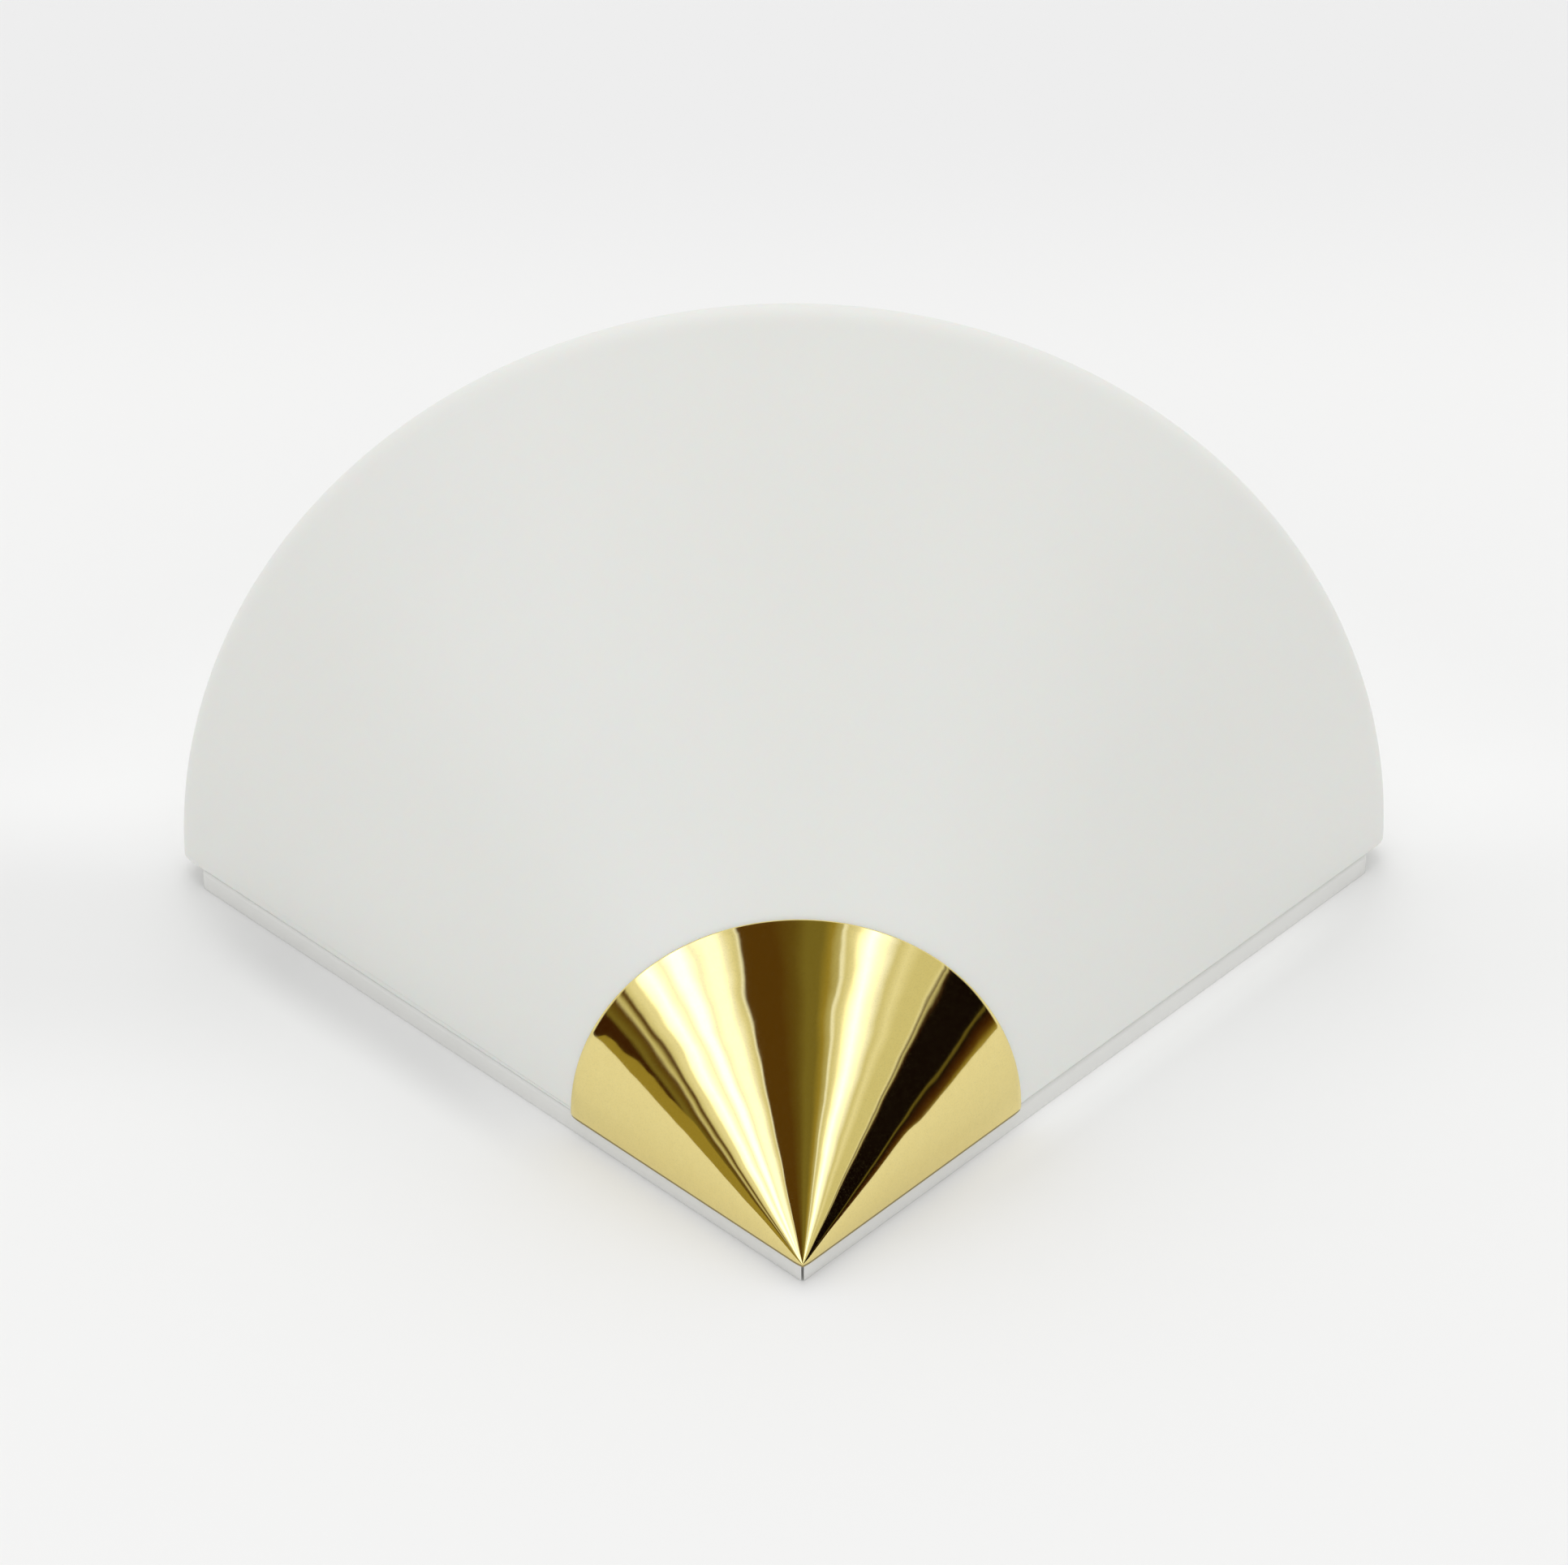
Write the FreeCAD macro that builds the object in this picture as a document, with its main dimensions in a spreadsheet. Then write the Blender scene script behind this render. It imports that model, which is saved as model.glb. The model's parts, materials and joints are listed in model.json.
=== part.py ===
import FreeCAD, Part
import Sketcher
import math
import os
import re

# Shell wall sconce: a half-cone opal glass shade on a folded white wall plate, held at its point by a
# polished brass cap. Millimetres. +Z is up, the wall is the plane y = 0 and the light stands out
# towards -Y. The origin lies on the wall, midway between the two fixing slots.

Vector = FreeCAD.Vector
doc = FreeCAD.newDocument("shell_wall_sconce")
sizes = doc.addObject("Spreadsheet::Sheet", "sizes")

drivingSizes = {
    # Cone shared by the glass, the cap and the two slanting edges of the plate
    "coneSlope": (0.84, "half width gained per millimetre of rise"),
    "mountRise": (105, "wall fixings above the point of the plate"),
    # Wall plate
    "plateDrop": (13.5, "top of the glass to the plate's top edge"),
    "plateDepth": (5.1, "wall to front face"),
    "plateSheet": (1.0, "sheet thickness"),
    "plateBend": (1.2, "outer radius of the folded edge"),
    "plateCorner": (2.5, "radius of the two upper corners"),
    "tipSlit": (0.6, "gap between the two flanges at the point"),
    "fixingSpacing": (80, "between the two wall screws"),
    "fixingSlotWidth": (4.6, "wall screw slot"),
    "fixingSlotLength": (10, "wall screw slot, end to end"),
    "dimpleFoot": (8.5, "radius of the dimple on the wall"),
    "dimpleMouth": (12, "radius of the dimple at the plate"),
    # Glass shade
    "rimRadius": (150, "widest radius of the glass"),
    "glassWall": (4, "glass thickness"),
    "shoulderRadius": (8, "outer rounding below the rim"),
    "lipWidth": (14, "inward lip, from the widest radius"),
    "glassCut": (30, "point of the cone to the ground lower end"),
    "seatGap": (0.2, "glass to plate face"),
    # Brass cap
    "capReach": (62, "point of the plate to the cap's rim"),
    "capSheet": (0.6, "brass thickness"),
    "capGap": (0.3, "cap to glass, square to the cone"),
    "capSkirt": (1.2, "how far the cap reaches back past the plate's face"),
    "cushionHeight": (4, "cushion under the ground end of the glass"),
    "cushionWidth": (6.5, "cushion, across"),
    "cushionGap": (0.1, "cushion to glass"),
    "plugFoot": (9, "underside of the brass plug in the cap's point"),
    "plugTop": (17, "top of that plug"),
    "solderGap": (0.05, "solder between plug and cap"),
    "studRadius": (2, "threaded stud"),
    "studDepth": (8.5, "stud axis in front of the plate face"),
    "studSunk": (3.5, "stud length inside the plug"),
    "studTop": (39, "top of the stud"),
    "studChamfer": (0.5, "bevel at its end"),
    # Slotted bracket that the cap hangs on
    "shelfRise": (20, "underside of the shelf"),
    "tipBracketSheet": (1.2, "bracket thickness"),
    "tipBracketWidth": (14, "bracket width"),
    "tipBracketReach": (13.5, "shelf length from the plate face"),
    "tipBracketFoot": (24, "length of the leg on the plate"),
    "forkWidth": (4.6, "open slot for the stud"),
    "nutGap": (0.2, "between shelf, washer and nut"),
    "washerRadius": (5.2, "washer under the knurled nut"),
    "washerSheet": (0.8, "washer thickness"),
    "nutRadius": (6, "knurled nut"),
    "nutHeight": (7, "knurled nut"),
    "nutBore": (2.06, "bore over the stud"),
    "knurlGroove": (0.4, "depth of a knurl groove"),
    "knurlCount": (24, "knurl grooves"),
    # Rivets
    "rivetRadius": (1.5, "shank"),
    "rivetHead": (2.9, "head radius"),
    "rivetHeadHeight": (1.1, "head height"),
    "rivetTail": (2.2, "closed end radius"),
    "rivetTailHeight": (0.9, "closed end height"),
    "holeGap": (0.1, "shank to hole"),
    "rivetPitch": (8, "between the two rivets of the tip bracket"),
    # Side springs that steady the glass
    "clipDrop": (26, "plate's top edge to the middle of the spring"),
    "clipSheet": (0.8, "spring strip"),
    "clipWidth": (14, "spring strip"),
    "clipHeight": (15, "blade height"),
    "clipFoot": (15, "length on the plate"),
    "clipBend": (1.5, "bend radius"),
    "clipRivet": (9, "blade to rivet"),
    "padSheet": (1.4, "silicone sleeve wall"),
    "padHeight": (9, "silicone sleeve"),
    "padGap": (1.05, "sleeve to glass at the plate"),
    # Lampholder bracket
    "lampDrop": (26, "plate's top edge to the lamp axis"),
    "lampDepth": (47, "lamp axis in front of the wall"),
    "holderRoom": (42.8, "glass at the plate to the face that carries the lampholder"),
    "bracketSheet": (1.5, "bracket thickness"),
    "bracketWidth": (26, "bracket width"),
    "bracketFoot": (24, "length on the plate"),
    "bracketBend": (2, "inner bend radius"),
    "bracketScrewPitch": (14, "between its two screws"),
    "bracketScrewInset": (14.4, "bracket face to its screws"),
    "screwRadius": (2, "M4 screw"),
    "screwHead": (3.8, "pan head radius"),
    "screwHeadHeight": (2.4, "pan head"),
    "nutFlats": (7, "M4 nut across flats"),
    "nutSheet": (2.2, "thin M4 nut"),
    # Lampholder
    "nippleRadius": (5, "M10 threaded tube"),
    "nippleBore": (3.5, "wire passage"),
    "nippleLength": (17, "whole length"),
    "nippleBack": (7, "length behind the bracket face"),
    "lockFlats": (14, "lock nut across flats"),
    "lockHeight": (3, "lock nut"),
    "lockWasherRadius": (8.5, "washer"),
    "lockWasherSheet": (0.8, "washer"),
    "holderRadius": (20, "lampholder"),
    "holderWall": (2, "lampholder wall"),
    "holderStep": (1, "shallow step round the dome"),
    "holderCapLength": (24, "dome of the lampholder"),
    "holderNose": (12, "dome radius at the bracket"),
    "holderBodyLength": (32, "sleeve of the lampholder"),
    "mouthGap": (1.6, "lamp shell to the opening of the lampholder"),
    "insertHeight": (8, "ceramic contact carrier"),
    "insertGap": (0.2, "carrier to sleeve"),
    "sleeveGap": (0.35, "lamp shell to the screw sleeve"),
    "sleeveSheet": (0.5, "screw sleeve"),
    "sleeveLength": (19, "screw sleeve"),
    "tongueWidth": (6, "centre contact"),
    "tongueSheet": (0.5, "centre contact"),
    "tongueLift": (1.6, "rise of the centre contact"),
    # Lamp with a 27 mm screw base
    "bulbRadius": (30, "glass bulb"),
    "bulbLength": (105, "contact to crown"),
    "bulbNeck": (14.2, "neck radius"),
    "bulbBlend": (34, "hollow curve from neck to bulb"),
    "bulbGlass": (1, "glass thickness"),
    "baseRadius": (13.2, "screw shell"),
    "baseLength": (23, "screw shell"),
    "baseSheet": (0.4, "screw shell"),
    "baseRound": (2, "rounding at the foot of the screw shell"),
    "baseCrimp": (4, "from the crimp to the end of the screw shell"),
    "baseCollar": (2, "plain collar over the neck"),
    "baseFit": (0.15, "collar to glass neck"),
    "insulatorHeight": (2.5, "black glass"),
    "contactRadius": (4.5, "centre contact of the lamp"),
    "contactHeight": (1.6, "centre contact of the lamp"),
    "contactGap": (0.3, "lamp to spring tongue"),
    "stemRadius": (4.5, "glass stem"),
    "stemLength": (36, "glass stem"),
    "stemFlare": (10, "height of the flare that closes the neck"),
    "stemEdge": (1.5, "rim of the flare"),
    "stemPinch": (4, "height of the pinched end"),
    "stemFit": (0.1, "flare to neck"),
    "leadRadius": (0.35, "lead-in wire"),
    "filamentSpan": (24, "between the lead-in wires"),
    "filamentRise": (12, "stem to filament"),
    "filamentArch": (2, "rise of the filament in its middle"),
    "filamentRadius": (0.5, "coiled filament, outside"),
    # Terminal block
    "blockX": (-5, "middle of the block"),
    "blockRise": (84, "middle of the block above the plate's point"),
    "blockBase": (5, "base height"),
    "blockHeight": (14, "whole height"),
    "blockLength": (16, "along the conductors"),
    "polePitch": (12, "between poles"),
    "poleWidth": (8, "one pole"),
    "poleAxis": (7.5, "conductor axis above the plate face"),
    "tubeRadius": (2.6, "brass tube"),
    "tubeBore": (1.6, "brass tube, inside"),
    "tubeLength": (14, "brass tube"),
    "clampRadius": (1.3, "terminal screw"),
    "clampHead": (1.7, "terminal screw head"),
    "clampHeadHeight": (1.2, "terminal screw head"),
    "clampPitch": (7, "between the two screws of a pole"),
    "clampSunk": (1.5, "head below the top of the block"),
    "blockScrewRadius": (1.4, "block fixing screw"),
    "blockScrewHead": (2.4, "its head radius"),
    "blockScrewHeight": (1.6, "its head height"),
    # Cable inlet
    "inletX": (24, "middle of the inlet"),
    "inletRise": (82, "inlet above the plate's point"),
    "inletBore": (5, "clear radius for the supply cable"),
    "grommetWall": (1.5, "rubber between bore and sheet"),
    "grommetFlange": (2.2, "flange beyond the hole"),
    "grommetLip": (1.4, "flange thickness"),
    # Earth connection
    "earthX": (-36, "earth stud"),
    "earthRise": (72, "earth stud above the plate's point"),
    "earthLength": (11, "stud in front of the plate face"),
    "earthHead": (1.2, "its low head behind the plate"),
    "earthWasher": (4.5, "toothed washer radius"),
    "earthWasherSheet": (0.8, "toothed washer"),
    "tagRadius": (4, "ring tag"),
    "tagSheet": (0.8, "ring tag"),
    "tagBarrel": (7, "ring tag, centre to wire"),
    "earthNutHeight": (3.2, "M4 nut"),
    # Internal wires
    "wireRadius": (1.1, "insulated wire"),
    "wireSpread": (1.5, "half the distance between the two leads in the tube"),
    "wireEntry": (0.5, "wire end inside the terminal block"),
    "wireLoop": (12, "how far the leads swing out behind the lampholder's tube"),
}
for row, (name, (number, note)) in enumerate(drivingSizes.items(), start=1):
    sizes.set(f"A{row}", name)
    sizes.set(f"B{row}", str(number))
    sizes.set(f"C{row}", note)
    sizes.setAlias(f"B{row}", name)
doc.recompute()

aliasPattern = re.compile(r"\b(" + "|".join(drivingSizes) + r")\b")

# The slanting edges and the cone, worked out from the shared slope
slant = "sqrt(1 + coneSlope * coneSlope)"
glassInset = f"glassWall * {slant}"
seat = "(plateDepth + seatGap)"
arcRadius = "(rimRadius - shoulderRadius)"
widestRise = f"(({arcRadius} + shoulderRadius * {slant}) / coneSlope)"
glassTop = f"({widestRise} + shoulderRadius)"
capInside = f"(capGap * {slant})"
capOutside = f"((capGap + capSheet) * {slant})"
plateHeight = f"({glassTop} - plateDrop)"
clipRise = f"({plateHeight} - clipDrop)"
lampRise = f"({plateHeight} - lampDrop)"
bracketX = f"(holderRoom + {glassInset} - coneSlope * {lampRise})"
bracketBack = f"({bracketX} - bracketSheet)"
sleeveInside = "(baseRadius + sleeveGap)"
holderMouth = "(baseRadius + mouthGap)"


def link(expression):
    return aliasPattern.sub(r"sizes.\1", expression)


def value(expression):
    return float(sizes.evalExpression(link(expression)))


def bind(thing, path, expression):
    thing.setExpression(path, link(expression))


def place(thing, across="0", depth="0", rise="mountRise", axis=(0, 0, 1), angle="0"):
    """Set a sub-part by its distance across, in front of the wall and above the plate's point."""
    thing.Placement = FreeCAD.Placement(Vector(0, 0, 0), FreeCAD.Rotation(Vector(*axis), value(angle)))
    bind(thing, "Placement.Base.x", across)
    bind(thing, "Placement.Base.y", f"-({depth})")
    bind(thing, "Placement.Base.z", f"{rise} - mountRise")
    if angle != "0":
        bind(thing, "Placement.Rotation.Angle", angle)
    return thing


def newBody(name):
    body = doc.addObject("PartDesign::Body", name)
    body.Label = name
    return body


def originPart(body, role):
    """Origin plane or axis of a body, such as XZ_Plane or Z_Axis."""
    return next(feature for feature in body.Origin.OriginFeatures if feature.Role == role)


def newSketch(body, name, role, offset=None):
    sketch = body.newObject("Sketcher::SketchObject", name)
    sketch.AttachmentSupport = [(originPart(body, role), "")]
    sketch.MapMode = "FlatFace"
    if offset:
        bind(sketch, "AttachmentOffset.Base.z", offset)
    return sketch


def fix(sketch, kind, geometry, position, expression):
    """Tie one coordinate of a sketch point to the sizes."""
    number = sketch.addConstraint(Sketcher.Constraint(kind, -1, 1, geometry, position, value(expression)))
    bind(sketch, f"Constraints[{number}]", expression)


def addPolygon(sketch, points):
    corners = [Vector(value(x), value(y), 0) for x, y in points]
    lines = []
    for start, end in zip(corners, corners[1:] + corners[:1]):
        lines.append(sketch.addGeometry(Part.LineSegment(start, end)))
    for line, following in zip(lines, lines[1:] + lines[:1]):
        sketch.addConstraint(Sketcher.Constraint("Coincident", line, 2, following, 1))
    for line, (x, y) in zip(lines, points):
        fix(sketch, "DistanceX", line, 1, x)
        fix(sketch, "DistanceY", line, 1, y)


def addCircle(sketch, x, y, radius):
    circle = Part.Circle(Vector(value(x), value(y), 0), Vector(0, 0, 1), value(radius))
    number = sketch.addGeometry(circle)
    fix(sketch, "DistanceX", number, 3, x)
    fix(sketch, "DistanceY", number, 3, y)
    limit = sketch.addConstraint(Sketcher.Constraint("Radius", number, value(radius)))
    bind(sketch, f"Constraints[{limit}]", radius)


def addSlot(sketch, x, y, length, width):
    """A level slot with round ends, about a middle point."""
    half = value(f"({length} - {width}) / 2")
    radius = value(f"{width} / 2")
    midX = value(x)
    midY = value(y)
    quarter = math.pi / 2
    right = Part.Circle(Vector(midX + half, midY, 0), Vector(0, 0, 1), radius)
    left = Part.Circle(Vector(midX - half, midY, 0), Vector(0, 0, 1), radius)
    rightArc = sketch.addGeometry(Part.ArcOfCircle(right, -quarter, quarter))
    leftArc = sketch.addGeometry(Part.ArcOfCircle(left, quarter, 3 * quarter))
    upper = sketch.addGeometry(Part.LineSegment(Vector(midX + half, midY + radius, 0),
                                                Vector(midX - half, midY + radius, 0)))
    lower = sketch.addGeometry(Part.LineSegment(Vector(midX - half, midY - radius, 0),
                                                Vector(midX + half, midY - radius, 0)))
    run = [rightArc, upper, leftArc, lower]
    for joint in zip(run, (2, 2, 2, 2), run[1:] + run[:1], (1, 1, 1, 1)):
        sketch.addConstraint(Sketcher.Constraint("Tangent", *joint))
    sketch.addConstraint(Sketcher.Constraint("Equal", rightArc, leftArc))
    fix(sketch, "DistanceX", rightArc, 3, f"{x} + ({length} - {width}) / 2")
    fix(sketch, "DistanceY", rightArc, 3, y)
    fix(sketch, "DistanceX", leftArc, 3, f"{x} - ({length} - {width}) / 2")
    fix(sketch, "DistanceY", leftArc, 3, y)
    limit = sketch.addConstraint(Sketcher.Constraint("Radius", rightArc, radius))
    bind(sketch, f"Constraints[{limit}]", f"{width} / 2")


def finish(body, feature):
    doc.recompute()
    body.Tip = feature
    return feature


def pad(body, sketch, length, middle=False, reverse=False):
    feature = body.newObject("PartDesign::Pad", sketch.Name + "Pad")
    feature.Profile = sketch
    bind(feature, "Length", length)
    feature.Midplane = middle
    feature.Reversed = reverse
    return finish(body, feature)


def pocket(body, sketch, depth, reverse=False, middle=False):
    before = body.Shape.Volume
    feature = body.newObject("PartDesign::Pocket", sketch.Name + "Pocket")
    feature.Profile = sketch
    bind(feature, "Length", depth)
    feature.Reversed = reverse
    feature.Midplane = middle
    finish(body, feature)
    if body.Shape.Volume >= before - 1e-6:
        raise RuntimeError(f"{feature.Name} cuts nothing")
    return feature


def revolve(body, sketch, angle="360", reverse=False):
    feature = body.newObject("PartDesign::Revolution", sketch.Name + "Turn")
    feature.Profile = sketch
    feature.ReferenceAxis = (sketch, ["V_Axis"])
    bind(feature, "Angle", angle)
    feature.Reversed = reverse
    return finish(body, feature)


def edgesWhere(shape, test):
    return [f"Edge{number}" for number, edge in enumerate(shape.Edges, start=1) if test(edge)]


def fillet(body, radius, test):
    base = body.Tip
    names = edgesWhere(base.Shape, test)
    if not names:
        raise RuntimeError(f"no edge of {body.Label} to round by {radius}")
    feature = body.newObject("PartDesign::Fillet", f"{body.Name}Round")
    feature.Base = (base, names)
    bind(feature, "Radius", radius)
    return finish(body, feature)


def turned(name, points, angle="360"):
    """A round part: its half section is drawn as radius and height, and turned about the height."""
    body = newBody(name)
    sketch = newSketch(body, name + "Section", "XZ_Plane")
    addPolygon(sketch, points)
    revolve(body, sketch, angle, reverse=True)
    return body


def near(first, second, slack=0.01):
    return abs(first - second) < slack


def isCircle(edge, radius, height):
    """True for a round edge of this radius at this height of its own body."""
    curve = edge.Curve
    return isinstance(curve, Part.Circle) and near(curve.Radius, radius) and near(curve.Center.z, height)


def group(name, members):
    """Like fasteners: separate solids in one sub-part."""
    compound = doc.addObject("Part::Compound", name)
    compound.Label = name
    compound.Links = members
    return compound


towardsRoom = {"axis": (1, 0, 0), "angle": "90"}
alongX = {"axis": (0, 1, 0), "angle": "90"}
frontFace = "plateDepth"
panelBack = "(plateDepth - plateSheet)"

# Places shared by the plate and what is fixed to it
tipLegTop = "(shelfRise + tipBracketSheet + tipBracketFoot)"
tipRivetRises = [f"({tipLegTop} - rivetPitch * {share})" for share in (1.5, 0.5)]
bracketScrewX = f"({bracketX} + bracketScrewInset)"
bracketScrewRises = [f"({lampRise} + {side} * bracketScrewPitch / 2)" for side in (-1, 1)]
blockScrewRises = [f"(blockRise + {side} * polePitch / 2)" for side in (-1, 1)]
clipBlade = "(padGap + padSheet)"
clipRivetInset = f"({clipBlade} + clipSheet + clipRivet)"
clipSeat = f"(coneSlope * {clipRise} - {glassInset})"


def clipRivetSpot(side):
    """Rivet of a side spring: in from the glass, square to the slanting edge."""
    across = f"{side} * ({clipSeat} - {clipRivetInset} / {slant})"
    rise = f"({clipRise} + {clipRivetInset} * coneSlope / {slant})"
    return across, rise


def rivetHole(sketch, x, rise):
    addCircle(sketch, x, rise, "rivetRadius + holeGap")


def rivet(name, grip):
    """Rivet with its head to the front: grip is the sheet held under the head."""
    return turned(name, [
        ("0", "-rivetTailHeight"), ("rivetTail", "-rivetTailHeight"), ("rivetTail", "0"),
        ("rivetRadius", "0"), ("rivetRadius", grip), ("rivetHead", grip),
        ("rivetHead", f"{grip} + rivetHeadHeight * 0.4"), ("rivetHead * 0.6", f"{grip} + rivetHeadHeight"),
        ("0", f"{grip} + rivetHeadHeight"),
    ])


def wallPlate():
    body = newBody("backplate")
    outline = newSketch(body, "plateOutline", "XZ_Plane")
    addPolygon(outline, [("0", "0"), (f"{plateHeight} * coneSlope", plateHeight),
                         (f"-{plateHeight} * coneSlope", plateHeight)])
    pad(body, outline, "plateDepth")
    top = value(plateHeight)
    front = -value("plateDepth")

    def upperCorner(edge):
        start, end = edge.Vertexes[0].Point, edge.Vertexes[-1].Point
        return near(start.z, top) and near(end.z, top) and near(start.x, end.x)
    fillet(body, "plateCorner", upperCorner)
    fillet(body, "plateBend", lambda edge: all(near(v.Y, front) for v in edge.Vertexes))
    # The hollow side towards the wall
    hollow = newSketch(body, "plateHollow", "XZ_Plane")
    innerPoint = f"plateSheet * {slant} / coneSlope"
    innerTop = f"({plateHeight} - plateSheet)"
    innerHalf = f"({innerTop} - {innerPoint}) * coneSlope"
    addPolygon(hollow, [("0", innerPoint), (innerHalf, innerTop), (f"-({innerHalf})", innerTop)])
    pocket(body, hollow, panelBack, reverse=True)
    # Slit between the two flanges at the point
    slit = newSketch(body, "plateSlit", "XZ_Plane")
    addPolygon(slit, [("-tipSlit / 2", "-plateSheet"), ("tipSlit / 2", "-plateSheet"),
                      ("tipSlit / 2", f"{innerPoint} * 1.2"), ("-tipSlit / 2", f"{innerPoint} * 1.2")])
    pocket(body, slit, "plateDepth - plateSheet * 0.5", reverse=True)
    # A dimple at each wall screw reaches back to the wall
    cut = newSketch(body, "dimpleCut", "XZ_Plane")
    addCircle(cut, "fixingSpacing / 2", "mountRise", "dimpleMouth")
    dimpleHole = pocket(body, cut, "plateDepth", reverse=True)
    cup = newSketch(body, "dimpleCup", "XY_Plane", offset="mountRise")
    centre = "fixingSpacing / 2"
    addPolygon(cup, [
        (centre, "0"), (f"{centre} + dimpleFoot", "0"), (f"{centre} + dimpleMouth", f"-{panelBack}"),
        (f"{centre} + dimpleMouth", "-plateDepth"), (f"{centre} + dimpleFoot", "-plateSheet"),
        (centre, "-plateSheet"),
    ])
    axisLine = Part.LineSegment(Vector(value(centre), 0, 0), Vector(value(centre), -10, 0))
    axis = cup.addGeometry(axisLine, True)
    fix(cup, "DistanceX", axis, 1, centre)
    fix(cup, "DistanceY", axis, 1, "0")
    fix(cup, "DistanceX", axis, 2, centre)
    fix(cup, "DistanceY", axis, 2, "-plateDepth")
    dimple = body.newObject("PartDesign::Revolution", "dimple")
    dimple.Profile = cup
    dimple.ReferenceAxis = (cup, ["Axis0"])
    dimple.Angle = 360
    finish(body, dimple)
    slot = newSketch(body, "fixingSlot", "XZ_Plane")
    addSlot(slot, centre, "mountRise", "fixingSlotLength", "fixingSlotWidth")
    slotCut = pocket(body, slot, "plateDepth", reverse=True)
    mirror = body.newObject("PartDesign::Mirrored", "otherFixing")
    mirror.Originals = [dimpleHole, dimple, slotCut]
    mirror.MirrorPlane = (originPart(body, "YZ_Plane"), [""])
    finish(body, mirror)
    # Cable inlet, rivet, screw and stud holes
    holes = newSketch(body, "plateHoles", "XZ_Plane")
    addCircle(holes, "inletX", "inletRise", "inletBore + grommetWall")
    for rise in tipRivetRises:
        rivetHole(holes, "0", rise)
    for side in (-1, 1):
        across, rise = clipRivetSpot(side)
        rivetHole(holes, across, rise)
    for rise in bracketScrewRises:
        addCircle(holes, bracketScrewX, rise, "screwRadius + holeGap")
    addCircle(holes, "earthX", "earthRise", "screwRadius + holeGap")
    for rise in blockScrewRises:
        addCircle(holes, "blockX", rise, "blockScrewRadius + holeGap")
    pocket(body, holes, "plateDepth", reverse=True)
    return place(body, rise="0")


def tipBracket():
    """Angle bracket with an open slot: the cap's stud drops in and its nut rests on the shelf."""
    body = newBody("tip_bracket")
    section = newSketch(body, "tipBracketSection", "YZ_Plane")
    top = "(shelfRise + tipBracketSheet)"
    addPolygon(section, [
        ("-plateDepth", "shelfRise"), ("-(plateDepth + tipBracketReach)", "shelfRise"),
        ("-(plateDepth + tipBracketReach)", top), ("-(plateDepth + tipBracketSheet)", top),
        ("-(plateDepth + tipBracketSheet)", f"{top} + tipBracketFoot"),
        ("-plateDepth", f"{top} + tipBracketFoot"),
    ])
    pad(body, section, "tipBracketWidth", middle=True)
    fork = newSketch(body, "forkSlot", "XY_Plane", offset="shelfRise")
    stud = "-(plateDepth + studDepth)"
    mouth = "-(plateDepth + tipBracketReach + tipBracketSheet)"
    addPolygon(fork, [("-forkWidth / 2", stud), ("forkWidth / 2", stud),
                      ("forkWidth / 2", mouth), ("-forkWidth / 2", mouth)])
    pocket(body, fork, "tipBracketSheet", reverse=True)
    seatHole = newSketch(body, "forkEnd", "XY_Plane", offset="shelfRise")
    addCircle(seatHole, "0", stud, "forkWidth / 2")
    pocket(body, seatHole, "tipBracketSheet", reverse=True)
    holes = newSketch(body, "tipBracketHoles", "XZ_Plane")
    for rise in tipRivetRises:
        rivetHole(holes, "0", rise)
    pocket(body, holes, "plateDepth + tipBracketSheet", reverse=True)
    return place(body, rise="0")


def tipRivets():
    members = []
    for number, rise in enumerate(tipRivetRises, start=1):
        member = rivet(f"tip_rivet_{number}", "(plateSheet + tipBracketSheet)")
        members.append(place(member, depth=panelBack, rise=rise, **towardsRoom))
    return group("tip_bracket_rivets", members)


def sideSpring(side, name):
    """Bent spring strip whose blade stands beside the glass near its upper corner."""
    body = newBody(name)
    section = newSketch(body, name + "Section", "XY_Plane")
    face = f"-{side} * {clipBlade}"
    back = f"-{side} * ({clipBlade} + clipSheet)"
    end = f"-{side} * ({clipBlade} + clipSheet + clipFoot)"
    addPolygon(section, [
        (face, "0"), (face, "-clipHeight"), (back, "-clipHeight"),
        (back, "-clipSheet"), (end, "-clipSheet"), (end, "0"),
    ])
    pad(body, section, "clipWidth", middle=True)
    outer = value(face)
    inner = value(back)

    def bendEdge(x, y):
        return lambda edge: all(near(v.X, x) and near(v.Y, y) for v in edge.Vertexes)
    fillet(body, "clipBend", bendEdge(outer, 0))
    fillet(body, "clipBend - clipSheet", bendEdge(inner, -value("clipSheet")))
    hole = newSketch(body, name + "Hole", "XZ_Plane")
    addCircle(hole, f"-{side} * {clipRivetInset}", "0", "rivetRadius + holeGap")
    pocket(body, hole, "clipSheet", reverse=True)
    return place(body, across=f"{side} * {clipSeat}", depth=frontFace, rise=clipRise,
                 axis=(0, 1, 0), angle=f"{side} * atan(coneSlope)")


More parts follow.
